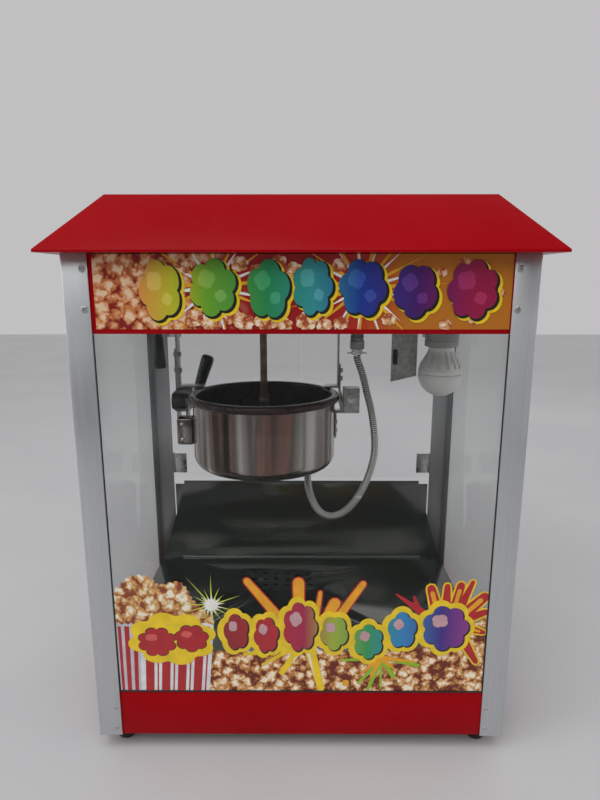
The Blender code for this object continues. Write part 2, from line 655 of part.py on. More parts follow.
def latch_lever():
    """Latch lever that hangs from the header, a bent rod in a tapered grip."""
    pivot = (LATCH_X, 0.0, LATCH_PIVOT_Z)
    eye = [(0.0, -0.004), (0.0060, -0.004), (0.0060, 0.004), (0.0, 0.004)]
    lever = turned("latch_lever", eye, pivot, (1, 0, 0), zinc_steel("latch_lever"), 20, origin=pivot)
    stem_rise = LATCH_STEM - 0.003
    stem = [(0.0, 0.0), (0.0032, 0.0), (0.0032, stem_rise), (0.0, stem_rise)]
    tool = turned("latch_stem_tool", stem, (LATCH_X, 0.0, LATCH_PIVOT_Z - LATCH_STEM), (0, 0, 1), None, 16)
    combine(lever, tool, "UNION")
    grip = [(0.0, 0.0), (0.0080, 0.0), (0.0097, 0.002), (0.0095, 0.011), (0.0072, LATCH_GRIP - 0.0045),
            (0.0060, LATCH_GRIP - 0.0002), (0.0, LATCH_GRIP)]
    turned("latch_grip", grip, (LATCH_X, 0.0, LATCH_PIVOT_Z - LATCH_STEM - GAP - LATCH_GRIP), (0, 0, 1),
           black_plastic("latch_grip"), 24, origin=pivot)


# ---------------------------------------------------------------- kettle, stirrer and drive

KETTLE_AXIS = (KETTLE_X, 0.0, TILT_AXIS_Z)


def kettle_pan():
    """Dark pan with a rolled rim: floor, corner, wall and bead in one turned profile."""
    inside = 0.0965
    outside = inside + PAN_WALL
    corner = 0.014
    bead_low = RIM_TOP - BEAD_HEIGHT
    bead = BEAD_HEIGHT / 2
    profile = [(0.0, PAN_FLOOR)]
    profile += arc((inside - corner, PAN_FLOOR + corner), corner, -90, 0, 4)
    profile += [(inside, RIM_TOP - bead)]
    profile += arc((inside + bead * 0.9, RIM_TOP - bead), bead, 150, 90, 2)
    profile += arc((RIM_RADIUS - bead, RIM_TOP - bead), bead, 90, -90, 6)
    profile += [(outside, bead_low)]
    profile += arc((inside - corner, PAN_FLOOR + corner), corner + PAN_WALL, 0, -90, 4)
    profile += [(0.0, PAN_FLOOR - PAN_WALL)]
    turned("kettle_pan", profile, (KETTLE_X, 0.0, 0.0), (0, 0, 1),
           finish("kettle_pan", (0.02, 0.018, 0.018), 0.35), 40, origin=KETTLE_AXIS)


def kettle_jacket():
    """Stainless jacket that hangs below the bead and closes the heater in."""
    corner = 0.018
    top = RIM_TOP - BEAD_HEIGHT - GAP
    middle = (JACKET_RADIUS - corner, KETTLE_BOTTOM + corner)
    profile = [(0.0, KETTLE_BOTTOM)]
    profile += arc(middle, corner, -90, 0, 5)
    profile += [(JACKET_RADIUS, top), (JACKET_RADIUS - SHEET, top)]
    profile += arc(middle, corner - SHEET, 0, -90, 5)
    profile += [(0.0, KETTLE_BOTTOM + SHEET)]
    turned("kettle_jacket", profile, (KETTLE_X, 0.0, 0.0), (0, 0, 1), stainless("kettle_jacket"), 40,
           origin=KETTLE_AXIS)


def heater_plate():
    low = KETTLE_BOTTOM + SHEET + GAP
    high = PAN_FLOOR - PAN_WALL - GAP
    profile = [(0.0, low), (0.080, low), (0.080, high), (0.0, high)]
    turned("heater_plate", profile, (KETTLE_X, 0.0, 0.0), (0, 0, 1),
           finish("heater_plate", (0.25, 0.24, 0.23), 0.6, 1.0), 28, origin=KETTLE_AXIS)


def kettle_ears():
    """Brackets riveted to the jacket, each with the pin that the kettle tilts on."""
    z = TILT_AXIS_Z
    right_side = KETTLE_X + JACKET_RADIUS
    left_side = KETTLE_X - JACKET_RADIUS
    shelf_low, shelf_high = z - 0.0155, z - 0.0135
    lug = right_side + GAP
    right = [(lug, 0.372), (lug + STRAP, 0.372), (lug + STRAP, shelf_low), (0.0830, shelf_low),
             (0.0830, z + 0.0200), (0.0600, z + 0.0200), (0.0600, shelf_high), (lug, shelf_high)]
    ear = prism("kettle_ear_right", right, "Y", -0.0115, 0.0115, zinc_steel("kettle_ear_right"),
                origin=KETTLE_AXIS)
    pin = [(0.0, 0.0), (PIVOT_PIN, 0.0), (PIVOT_PIN, 0.0065), (0.0, 0.0065)]
    start = (RIGHT_LEG + STRAP + GAP - 0.0004, 0.0, z)
    combine(ear, turned("right_pin_tool", pin, start, (1, 0, 0), None, 20), "UNION")

    plate_x = (-0.1650, -0.1630)
    outline = arc((0.0, z), 0.0105, 0, 180, 8) + [(-0.0105, z - 0.0245), (0.0105, z - 0.0245)]
    lug_plate = prism("kettle_ear_left", outline, "X", plate_x[0], plate_x[1], stainless("kettle_ear_left"),
                      origin=KETTLE_AXIS)
    box = block("left_box_tool", (-0.1790, -0.0125, z - 0.0625), (left_side - GAP, 0.0125, z - 0.0234), None,
                0.0025)
    combine(lug_plate, box, "UNION")
    pin = [(0.0, 0.0), (PIVOT_PIN, 0.0), (PIVOT_PIN, 0.0135), (0.0, 0.0135)]
    combine(lug_plate, turned("left_pin_tool", pin, (-0.1775, 0.0, z), (1, 0, 0), None, 20), "UNION")


GRIP_FOOT = Vector((-0.1621, 0.0912, 0.4290))
GRIP_HEAD = Vector((-0.1451, 0.0912, 0.4795))


def kettle_handle():
    """Rod from the rear left of the jacket up to a tapered grip that leans towards the middle."""
    lean = (GRIP_HEAD - GRIP_FOOT).normalized()
    outward = Vector((-0.766, 0.643, 0.0))
    start = Vector((KETTLE_X, 0.0, 0.402)) + outward * (JACKET_RADIUS + 0.0006)
    grip_low = GRIP_FOOT - lean * 0.012
    stations = [start, start + outward * 0.012, grip_low - lean * 0.012, grip_low - lean * 0.0012]
    rod("kettle_handle_rod", smooth_route(stations, 5), 0.0036, zinc_steel("kettle_handle_rod"), 2,
        origin=KETTLE_AXIS)
    length = (GRIP_HEAD - grip_low).length
    grip = [(0.0, 0.0), (0.0068, 0.0), (0.0076, 0.003), (0.0100, length - 0.011), (0.0097, length - 0.0045),
            (0.0076, length - 0.0008), (0.0, length)]
    turned("kettle_grip", grip, grip_low, lean, black_plastic("kettle_grip"), 24, origin=KETTLE_AXIS)


def drive():
    """Drive shaft with a coupling ball on the tilt axis, and the stirrer that it turns."""
    z = TILT_AXIS_Z
    ball = arc((0.0, z), COUPLING_BALL, -90, 48, 8)
    profile = [(0.0, ball[0][1])] + ball[1:] + [(SHAFT_RADIUS, z + 0.0075), (SHAFT_RADIUS, HEADER_FLOOR_TOP),
                                                (0.0, HEADER_FLOOR_TOP)]
    shaft = turned("drive_shaft", profile, (KETTLE_X, 0.0, 0.0), (0, 0, 1),
                   finish("drive_shaft", (0.30, 0.24, 0.20), 0.4, 1.0), 20, origin=KETTLE_AXIS)
    pin = [(0.0, 0.0), (0.0017, 0.0), (0.0017, 0.0165), (0.0, 0.0165)]
    combine(shaft, turned("cross_pin_tool", pin, (KETTLE_X - 0.00825, 0.0, z + 0.0078), (1, 0, 0), None, 12),
            "UNION")

    cup_in, cup_out = COUPLING_BALL + 0.0010, COUPLING_BALL + 0.0035
    low = PAN_FLOOR + 0.0012
    cup = arc((0.0, z), cup_in, -90, -50, 4)
    rim = arc((0.0, z), cup_out, -50, -62, 2)
    profile = [(0.0, cup[0][1])] + cup[1:] + rim + [(0.0045, z - 0.014), (0.0045, low + 0.010), (0.009, low + 0.006),
                                                  (0.009, low), (0.0, low)]
    stirrer = turned("agitator", profile, (KETTLE_X, 0.0, 0.0), (0, 0, 1), stainless("agitator"), 20,
                     origin=KETTLE_AXIS)
    arm = [(-0.078, low + 0.014), (-0.078, low + 0.0005), (0.078, low + 0.0005), (0.078, low + 0.014),
           (0.0755, low + 0.014), (0.0755, low + 0.003), (-0.0755, low + 0.003), (-0.0755, low + 0.014)]
    arm = [(KETTLE_X + a, b) for a, b in arm]
    combine(stirrer, prism("stirrer_arm_tool", arm, "Y", -0.005, 0.005, None), "UNION")


clear_scene()
corner_posts()
base()
feet()
floor_pan()
rear_apron()
crumb_drawer()
glazing()
doors()
hinges()
header()
roof()
switches()
cord_gland()
gear_motor()
lamp()
conduit()
hangers()
pivot_plates()
latch_lever()
kettle_pan()
kettle_jacket()
heater_plate()
kettle_ears()
kettle_handle()
drive()
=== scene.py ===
import json
import math

import bpy
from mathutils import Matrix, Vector


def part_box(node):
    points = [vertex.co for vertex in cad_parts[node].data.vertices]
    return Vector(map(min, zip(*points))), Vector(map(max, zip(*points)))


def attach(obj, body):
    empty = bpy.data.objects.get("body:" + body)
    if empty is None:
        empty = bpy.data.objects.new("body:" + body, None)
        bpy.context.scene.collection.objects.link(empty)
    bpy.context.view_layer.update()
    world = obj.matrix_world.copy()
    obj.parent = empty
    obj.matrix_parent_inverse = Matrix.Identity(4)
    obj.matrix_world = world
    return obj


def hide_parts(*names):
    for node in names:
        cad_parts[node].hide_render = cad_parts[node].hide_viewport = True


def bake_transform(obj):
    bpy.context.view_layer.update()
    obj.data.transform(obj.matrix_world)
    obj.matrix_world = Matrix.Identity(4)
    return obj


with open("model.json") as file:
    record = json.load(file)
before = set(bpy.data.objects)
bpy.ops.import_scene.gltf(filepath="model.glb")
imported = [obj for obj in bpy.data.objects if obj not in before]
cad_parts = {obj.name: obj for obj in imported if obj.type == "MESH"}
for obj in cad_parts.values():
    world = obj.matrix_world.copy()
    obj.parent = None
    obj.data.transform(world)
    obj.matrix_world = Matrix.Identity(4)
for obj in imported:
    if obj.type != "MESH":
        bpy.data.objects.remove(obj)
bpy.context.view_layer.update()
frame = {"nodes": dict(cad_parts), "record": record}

# ---- Viewpoint, table top and light
# The viewer stands in front of the glazed side and looks slightly down. The table top is plain and pale,
# and large soft lamps stand above, at both sides and behind the machine.
EYE = (0.0019, -0.866, 0.5944)
LOOK_DOWN = math.radians(13.05)
LOOK_LEFT = 0.0043
LENS = 27.53
LENS_SHIFT = 0.0269
TABLE_SIZE = 12.0

bpy.ops.object.select_all(action="DESELECT")
bpy.ops.object.camera_add(location=EYE, rotation=(math.pi / 2 - LOOK_DOWN, 0.0, LOOK_LEFT))
camera = bpy.context.object
camera.data.sensor_width = 36.0
camera.data.lens = LENS
camera.data.shift_y = LENS_SHIFT
camera.data.clip_start = 0.01
bpy.context.scene.camera = camera
bpy.context.scene.view_settings.view_transform = "Standard"

sky = bpy.data.worlds.new("soft_room")
sky.use_nodes = True
sky_nodes, sky_links = sky.node_tree.nodes, sky.node_tree.links
sky_way = sky_nodes.new("ShaderNodeTexCoord")
sky_parts = sky_nodes.new("ShaderNodeSeparateXYZ")
sky_links.new(sky_way.outputs["Generated"], sky_parts.inputs["Vector"])
sky_band = sky_nodes.new("ShaderNodeMapRange")
sky_band.inputs["From Min"].default_value = -0.9
sky_band.inputs["From Max"].default_value = 0.9
sky_band.inputs["To Min"].default_value = 0.13
sky_band.inputs["To Max"].default_value = 0.46
sky_links.new(sky_parts.outputs["Y"], sky_band.inputs["Value"])
sky_path = sky_nodes.new("ShaderNodeLightPath")
sky_mix = sky_nodes.new("ShaderNodeMix")
sky_mix.data_type = "RGBA"
sky_mix.inputs[7].default_value = (0.535, 0.525, 0.535, 1.0)
sky_links.new(sky_path.outputs["Is Camera Ray"], sky_mix.inputs[0])
sky_links.new(sky_band.outputs["Result"], sky_mix.inputs[6])
sky_links.new(sky_mix.outputs[2], sky_nodes["Background"].inputs["Color"])
bpy.context.scene.world = sky

for lamp_name, place, aim, size, power in (
        ("overhead_softbox", (-0.4, -1.3, 2.2), (0.0, 0.0, 0.4), 1.8, 9.0),
        ("left_window", (-2.1, -1.0, 1.3), (0.0, 0.0, 0.4), 1.4, 10.0),
        ("right_fill", (2.0, -0.8, 1.0), (0.0, 0.0, 0.3), 1.2, 6.0),
        ("rear_fill", (0.3, 2.2, 1.6), (0.0, 0.1, 0.3), 1.6, 5.0)):
    bpy.ops.object.light_add(type="AREA", location=place)
    softbox = bpy.context.object
    softbox.name = lamp_name
    softbox.data.size = size
    softbox.data.energy = power
    softbox.rotation_euler = (Vector(aim) - Vector(place)).to_track_quat("-Z", "Y").to_euler()
SUN_TILT = (math.radians(32), math.radians(-14), 0.0)
bpy.ops.object.light_add(type="SUN", location=(-1.0, -2.0, 3.0), rotation=SUN_TILT)
daylight = bpy.context.object
daylight.name = "soft_daylight"
daylight.data.energy = 1.45
daylight.data.angle = math.radians(70)


def plain_finish(name, colour, roughness, metallic=0.0):
    """A material with its colour, roughness and metal set on the shader itself."""
    material = bpy.data.materials.new(name)
    material.use_nodes = True
    shader = material.node_tree.nodes["Principled BSDF"]
    shader.inputs["Base Color"].default_value = (*colour, 1.0)
    shader.inputs["Roughness"].default_value = roughness
    shader.inputs["Metallic"].default_value = metallic
    return material


def field(material, kind, scale, stretch=(1.0, 1.0, 1.0), detail=3.0):
    """A noise or cell pattern on the piece's own coordinates. Returns its output socket."""
    nodes, links = material.node_tree.nodes, material.node_tree.links
    where = nodes.new("ShaderNodeTexCoord")
    fit = nodes.new("ShaderNodeMapping")
    fit.inputs["Scale"].default_value = stretch
    links.new(where.outputs["Object"], fit.inputs["Vector"])
    if kind == "noise":
        pattern = nodes.new("ShaderNodeTexNoise")
        pattern.inputs["Detail"].default_value = detail
        out = pattern.outputs["Fac"]
    else:
        pattern = nodes.new("ShaderNodeTexVoronoi")
        out = pattern.outputs["Distance"]
    pattern.inputs["Scale"].default_value = scale
    links.new(fit.outputs["Vector"], pattern.inputs["Vector"])
    return out


def colour_stops(material, value, stops):
    """A colour band driven by a pattern. Returns its colour socket."""
    band = material.node_tree.nodes.new("ShaderNodeValToRGB")
    ramp = band.color_ramp
    while len(ramp.elements) < len(stops):
        ramp.elements.new(0.5)
    for element, (place, colour) in zip(ramp.elements, stops):
        element.position = place
        element.color = (*colour, 1.0)
    material.node_tree.links.new(value, band.inputs["Fac"])
    return band.outputs["Color"]


def paint_with(material, colour):
    """Drive the base colour by a colour socket."""
    shader = material.node_tree.nodes["Principled BSDF"]
    material.node_tree.links.new(colour, shader.inputs["Base Color"])


def mottle(material, scale, stops, stretch=(1.0, 1.0, 1.0), detail=3.0):
    """Paint the surface with colour stops driven by noise."""
    paint_with(material, colour_stops(material, field(material, "noise", scale, stretch, detail), stops))


table_paint = plain_finish("pale_table", (0.53, 0.53, 0.54), 0.55)
mottle(table_paint, 2.5, [(0.3, (0.515, 0.515, 0.53)), (0.7, (0.555, 0.555, 0.565))])
bpy.ops.mesh.primitive_plane_add(size=TABLE_SIZE, location=(0.0, 0.0, 0.0))
table_top = bpy.context.object
table_top.name = "table_top"
table_top.data.materials.append(table_paint)

# ---- Kettle conduit
# Interlocked steel strip wound into a flexible tube, with the heater's wires inside. It leaves the fitting
# under the header, hangs in a loop beside the kettle and enters the underside.
CONDUIT_STATIONS = ((0.0787, 0.4900), (0.0800, 0.4830), (0.0875, 0.4620), (0.0950, 0.4330),
                    (0.1010, 0.4100), (0.1065, 0.3740), (0.1070, 0.3440), (0.1000, 0.3130),
                    (0.0880, 0.2840), (0.0700, 0.2590), (0.0480, 0.2470), (0.0280, 0.2540),
                    (0.0150, 0.2770), (0.0100, 0.3000), (0.0090, 0.3240))
CONDUIT_RADIUS = 0.0055
FOLD_PITCH = 0.0031
FOLD_DEPTH = 0.0009
FOLD_SHAPE = (0.0, 0.35, 1.0, 1.0, 0.35)
CONDUIT_SIDES = 16


def spread(material, value, socket, low, high, start=0.3, stop=0.7):
    """Let a pattern move one shader value between two limits."""
    remap = material.node_tree.nodes.new("ShaderNodeMapRange")
    remap.inputs["From Min"].default_value = start
    remap.inputs["From Max"].default_value = stop
    remap.inputs["To Min"].default_value = low
    remap.inputs["To Max"].default_value = high
    material.node_tree.links.new(value, remap.inputs["Value"])
    shader = material.node_tree.nodes["Principled BSDF"]
    material.node_tree.links.new(remap.outputs["Result"], shader.inputs[socket])


def uneven_gloss(material, scale, low, high, detail=3.0):
    """Let noise move the roughness between two limits."""
    spread(material, field(material, "noise", scale, detail=detail), "Roughness", low, high)


def smooth_line(stations, per_span):
    """A Catmull-Rom curve through the stations."""
    ends = [2 * stations[0] - stations[1]] + stations + [2 * stations[-1] - stations[-2]]
    line = []
    for i in range(1, len(ends) - 2):
        a, b, c, d = ends[i - 1:i + 3]
        for step in range(per_span):
            t = step / per_span
            line.append(0.5 * (2 * b + (c - a) * t + (2 * a - 5 * b + 4 * c - d) * t ** 2
                               + (3 * b - a - 3 * c + d) * t ** 3))
    return line + [stations[-1]]


conduit_line = smooth_line([Vector((x, 0.0, z)) for x, z in CONDUIT_STATIONS], 12)
reach = [0.0]
for here, after in zip(conduit_line, conduit_line[1:]):
    reach.append(reach[-1] + (after - here).length)
conduit_length = reach[-1]
ring_count = int(conduit_length / FOLD_PITCH) * len(FOLD_SHAPE)
conduit_points, conduit_faces, span = [], [], 0
for ring in range(ring_count + 1):
    along = conduit_length * ring / ring_count
    while span < len(reach) - 2 and reach[span + 1] < along:
        span += 1
    part = (along - reach[span]) / (reach[span + 1] - reach[span])
    centre = conduit_line[span].lerp(conduit_line[span + 1], part)
    low, high = max(span - 1, 0), min(span + 2, len(conduit_line) - 1)
    ahead = (conduit_line[high] - conduit_line[low]).normalized()
    across = ahead.cross(Vector((0.0, 1.0, 0.0)))
    radius = CONDUIT_RADIUS - FOLD_DEPTH * (1.0 - FOLD_SHAPE[ring % len(FOLD_SHAPE)])
    for side in range(CONDUIT_SIDES):
        angle = math.tau * side / CONDUIT_SIDES
        spoke = across * math.cos(angle) + Vector((0, 1, 0)) * math.sin(angle)
        conduit_points.append(centre + radius * spoke)
    if ring:
        first = (ring - 1) * CONDUIT_SIDES
        for side in range(CONDUIT_SIDES):
            other = (side + 1) % CONDUIT_SIDES
            conduit_faces.append((first + side, first + other, first + CONDUIT_SIDES + other,
                                  first + CONDUIT_SIDES + side))
conduit_faces.append(tuple(range(CONDUIT_SIDES))[::-1])
conduit_faces.append(tuple(ring_count * CONDUIT_SIDES + side for side in range(CONDUIT_SIDES)))
conduit_mesh = bpy.data.meshes.new("conduit_hose")
conduit_mesh.from_pydata(conduit_points, [], conduit_faces)
conduit_hose = bpy.data.objects.new("conduit_hose", conduit_mesh)
bpy.context.collection.objects.link(conduit_hose)
bpy.context.view_layer.objects.active = conduit_hose
conduit_hose.select_set(True)
bpy.ops.object.mode_set(mode="EDIT")
bpy.ops.mesh.select_all(action="SELECT")
bpy.ops.mesh.normals_make_consistent(inside=False)
bpy.ops.object.mode_set(mode="OBJECT")
bpy.ops.object.shade_smooth_by_angle(angle=math.radians(50))

strip_steel = plain_finish("bright_strip_steel", (0.66, 0.66, 0.64), 0.18, 1.0)
uneven_gloss(strip_steel, 90.0, 0.14, 0.30)
# The grooves between the strip's turns get a near-black finish: painted shade in the folds.
fold_shade_paint = plain_finish("painted_fold_shade", (0.020, 0.019, 0.017), 0.55)
uneven_gloss(fold_shade_paint, 120.0, 0.45, 0.70)
conduit_mesh.materials.append(strip_steel)
conduit_mesh.materials.append(fold_shade_paint)
for face in conduit_mesh.polygons[:ring_count * CONDUIT_SIDES]:
    if face.index // CONDUIT_SIDES % len(FOLD_SHAPE) in (0, 4):
        face.material_index = 1
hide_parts("kettle_conduit")
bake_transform(conduit_hose)

# ---- Corner posts
# Four satin anodised aluminium angles carry the whole cabinet. Each is held to the base and to the header
# with cross-headed screws, domed ones above and small flat ones below.
home = {node: body for body, nodes in frame["record"]["behaviour"]["bodies"].items() for node in nodes}


def relief(material, value, depth):
    """Raise and lower the surface by a pattern, to a depth in metres."""
    bump = material.node_tree.nodes.new("ShaderNodeBump")
    bump.inputs["Strength"].default_value = 1.0
    bump.inputs["Distance"].default_value = depth
    material.node_tree.links.new(value, bump.inputs["Height"])
    shader = material.node_tree.nodes["Principled BSDF"]
    before = shader.inputs["Normal"].links
    if before:
        material.node_tree.links.new(before[0].from_socket, bump.inputs["Normal"])
    material.node_tree.links.new(bump.outputs["Normal"], shader.inputs["Normal"])


def pick_only(thing):
    """Select one object and make it the active one."""
    bpy.ops.object.select_all(action="DESELECT")
    thing.select_set(True)
    bpy.context.view_layer.objects.active = thing


def dress(node, edge, finish, steps=2, sharp=28.0):
    """Break the edges of a node's shape, on a clean copy in its real finish."""
    source = frame["nodes"][node]
    piece = bpy.data.objects.new(f"{node}_finished", source.data.copy())
    piece.matrix_world = source.matrix_world
    bpy.context.collection.objects.link(piece)
    pick_only(piece)
    bpy.ops.mesh.customdata_custom_splitnormals_clear()
    bpy.ops.object.mode_set(mode="EDIT")
    bpy.ops.mesh.select_all(action="SELECT")
    bpy.ops.mesh.remove_doubles(threshold=0.00001)
    bpy.ops.mesh.dissolve_limited(angle_limit=math.radians(0.5))
    if edge:
        bpy.ops.mesh.select_mode(type="EDGE")
        bpy.ops.mesh.select_all(action="DESELECT")
        bpy.ops.mesh.edges_select_sharp(sharpness=math.radians(sharp))
        bpy.ops.mesh.bevel(offset=edge, segments=steps, profile=0.5, clamp_overlap=True)
    bpy.ops.object.mode_set(mode="OBJECT")
    bpy.ops.object.shade_smooth_by_angle(angle=math.radians(40))
    piece.data.materials.clear()
    piece.data.materials.append(finish)
    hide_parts(node)
    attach(piece, home[node])
    return piece


def keep(thing, name, body, finish, smooth=40.0):
    """Settle a new piece: its place goes into its mesh, and it gets its name, finish and body."""
    pick_only(thing)
    bpy.ops.object.transform_apply(location=True, rotation=True, scale=True)
    bpy.ops.object.mode_set(mode="EDIT")
    bpy.ops.mesh.select_all(action="SELECT")
    bpy.ops.mesh.normals_make_consistent(inside=False)
    bpy.ops.object.mode_set(mode="OBJECT")
    bpy.ops.object.shade_smooth_by_angle(angle=math.radians(smooth))
    thing.name = name
    thing.data.name = name
    thing.data.materials.clear()
    thing.data.materials.append(finish)
    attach(thing, body)
    return thing


def join_all(things):
    pick_only(things[0])
    for thing in things[1:]:
        thing.select_set(True)
    if len(things) > 1:
        bpy.ops.object.join()
    return bpy.context.view_layer.objects.active


def copy_to(thing, place, outward):
    """A copy with its own mesh, its local Z turned to point outwards."""
    copy = thing.copy()
    copy.data = thing.data.copy()
    bpy.context.collection.objects.link(copy)
    copy.location = place
    copy.rotation_euler = Vector(outward).to_track_quat("Z", "Y").to_euler()
    return copy


def screw_head(radius, height):
    """A domed head with a cross recess, its underside at the origin, pointing up Z."""
    bpy.ops.mesh.primitive_cylinder_add(vertices=32, radius=radius, depth=height, location=(0, 0, height / 2))
    head = bpy.context.object
    bpy.ops.object.transform_apply(location=True)
    bpy.ops.object.mode_set(mode="EDIT")
    bpy.ops.mesh.select_mode(type="FACE")
    bpy.ops.mesh.select_all(action="DESELECT")
    bpy.ops.object.mode_set(mode="OBJECT")
    for face in head.data.polygons:
        face.select = face.normal.z > 0.9
    bpy.ops.object.mode_set(mode="EDIT")
    bpy.ops.mesh.bevel(offset=min(radius * 0.45, height * 0.7), segments=4, profile=0.5)
    bpy.ops.object.mode_set(mode="OBJECT")
    for turn in range(2):
        bpy.ops.mesh.primitive_cube_add(size=1.0, location=(0, 0, height),
                                        rotation=(0, 0, turn * math.pi / 2 + 0.5))
        blade = bpy.context.object
        blade.scale = (radius * 1.15, radius * 0.26, height * 0.9)
        cut = head.modifiers.new("recess", "BOOLEAN")
        cut.object = blade
        pick_only(head)
        bpy.ops.object.modifier_apply(modifier="recess")
        bpy.data.objects.remove(blade, do_unlink=True)
    return head


anodised = plain_finish("satin_anodised_aluminium", (0.60, 0.61, 0.63), 0.38, 1.0)
drawn_lines = field(anodised, "noise", 9.0, (140.0, 140.0, 0.6), 3.0)
drawn_colours = [(0.3, (0.56, 0.57, 0.59)), (0.7, (0.63, 0.64, 0.66))]
paint_with(anodised, colour_stops(anodised, drawn_lines, drawn_colours))
spread(anodised, field(anodised, "noise", 14.0, (1.0, 1.0, 0.4), 6.0), "Roughness", 0.30, 0.50)
relief(anodised, drawn_lines, 0.000004)

for depth_name in ("front", "rear"):
    for side_name in ("left", "right"):
        dress(f"corner_post_{depth_name}_{side_name}", 0.0004, anodised)

screw_steel = plain_finish("zinc_screw_steel", (0.50, 0.50, 0.48), 0.32, 1.0)
uneven_gloss(screw_steel, 400.0, 0.22, 0.45)
post_low, post_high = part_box("corner_post_front_left")[0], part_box("corner_post_rear_right")[1]
SCREW_INSET = 0.0230
DOME_HEIGHTS = (0.606, 0.563)
FLAT_HEIGHTS = (0.062, 0.033)
dome_head = screw_head(0.0038, 0.0019)
flat_head = screw_head(0.0026, 0.0008)
for end_name, y, facing in (("front", post_low[1], -1), ("rear", post_high[1], 1)):
    placed = []
    sides = ((post_low[0] + SCREW_INSET, (0, facing, 0)), (post_high[0] - SCREW_INSET, (0, facing, 0)),
             (post_low[0], (-1, 0, 0)), (post_high[0], (1, 0, 0)))
    for x, outward in sides:
        depth = y if outward[0] == 0 else y - facing * SCREW_INSET
        placed += [copy_to(dome_head, (x, depth, z), outward) for z in DOME_HEIGHTS]
        placed += [copy_to(flat_head, (x, depth, z), outward) for z in FLAT_HEIGHTS]
    keep(join_all(placed), f"post_screws_{end_name}", "cabinet", screw_steel)

# ---- Red base
# Four folded steel channels between the posts, powder coated in glossy red. A black seal lies along their
# top edge. The zinc plated bottom plate and four rubber feet close the base below.


def grain(material, scale, depth, detail=3.0):
    """Give the surface a fine noise relief."""
    relief(material, field(material, "noise", scale, detail=detail), depth)


def set_socket(material, socket, value):
    """Set one value on the material's shader."""
    material.node_tree.nodes["Principled BSDF"].inputs[socket].default_value = value


gloss_red = plain_finish("glossy_red_coat", (0.39, 0.001, 0.005), 0.28)
set_socket(gloss_red, "Specular IOR Level", 0.07)
set_socket(gloss_red, "Coat Weight", 0.02)
set_socket(gloss_red, "Coat Roughness", 0.10)
mottle(gloss_red, 5.0, [(0.3, (0.30, 0.0004, 0.003)), (0.7, (0.36, 0.0008, 0.005))], detail=5.0)
uneven_gloss(gloss_red, 22.0, 0.20, 0.34, 6.0)
grain(gloss_red, 520.0, 0.00003, 1.0)

for node in ("base_front_panel", "base_rear_panel", "base_left_panel", "base_right_panel"):
    dress(node, 0.0004, gloss_red)

zinc_plate = plain_finish("dull_zinc_plate", (0.33, 0.33, 0.31), 0.46, 1.0)
spangle = field(zinc_plate, "cells", 160.0)
spangle_colours = [(0.0, (0.28, 0.28, 0.26)), (0.8, (0.40, 0.40, 0.375))]
paint_with(zinc_plate, colour_stops(zinc_plate, spangle, spangle_colours))
uneven_gloss(zinc_plate, 60.0, 0.34, 0.58, 6.0)
grain(zinc_plate, 300.0, 0.00002)
dress("bottom_plate", 0.0, zinc_plate)

foot_rubber = plain_finish("black_foot_rubber", (0.014, 0.014, 0.014), 0.78)
grain(foot_rubber, 700.0, 0.00005)
for depth_name in ("front", "rear"):
    for side_name in ("left", "right"):
        dress(f"foot_{depth_name}_{side_name}", 0.0005, foot_rubber)


def round_off(offset, segments, profile=0.5):
    """Apply the new primitive's place and size, then round all its edges."""
    bpy.ops.object.transform_apply(location=True, rotation=True, scale=True)
    bpy.ops.object.mode_set(mode="EDIT")
    bpy.ops.mesh.select_all(action="SELECT")
    bpy.ops.mesh.bevel(offset=offset, segments=segments, profile=profile)
    bpy.ops.object.mode_set(mode="OBJECT")


def bar(low, high, edge):
    """A bar between two corners with its edges rounded."""
    bpy.ops.mesh.primitive_cube_add(size=1.0, location=[(a + b) / 2 for a, b in zip(low, high)])
    thing = bpy.context.object
    thing.scale = [b - a for a, b in zip(low, high)]
    round_off(edge, 3)
    return thing


seal_black = plain_finish("black_glazing_seal", (0.012, 0.012, 0.012), 0.55)
grain(seal_black, 900.0, 0.00003)
front_low, front_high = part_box("front_glass")
SEAL_X = 0.2298
seal_y = (front_low[1] - 0.0016, front_low[1] - 0.0004)
seals = [bar((-SEAL_X, seal_y[0], front_low[2] - 0.0012), (SEAL_X, seal_y[1], front_low[2] + 0.0008), 0.0003)]
for side in (-1, 1):
    x = sorted((side * SEAL_X, side * (SEAL_X - 0.0014)))
    seals.append(bar((x[0], seal_y[0], front_low[2]), (x[1], seal_y[1], front_high[2]), 0.0003))
keep(join_all(seals), "glazing_seal_front", "cabinet", seal_black)
for side_name, side in (("left", -1), ("right", 1)):
    pane_low, pane_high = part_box(f"{side_name}_glass")
    face = pane_low[0] if side < 0 else pane_high[0]
    x = sorted((face + side * 0.0003, face + side * 0.0012))
    runs = [bar((x[0], -0.160, pane_low[2] - 0.0008), (x[1], 0.160, pane_low[2] + 0.0012), 0.0003)]
    for y in (-0.1605, 0.1590):
        runs.append(bar((x[0], y, pane_low[2]), (x[1], y + 0.0014, pane_high[2]), 0.0003))
    keep(join_all(runs), f"glazing_seal_{side_name}", "cabinet", seal_black)
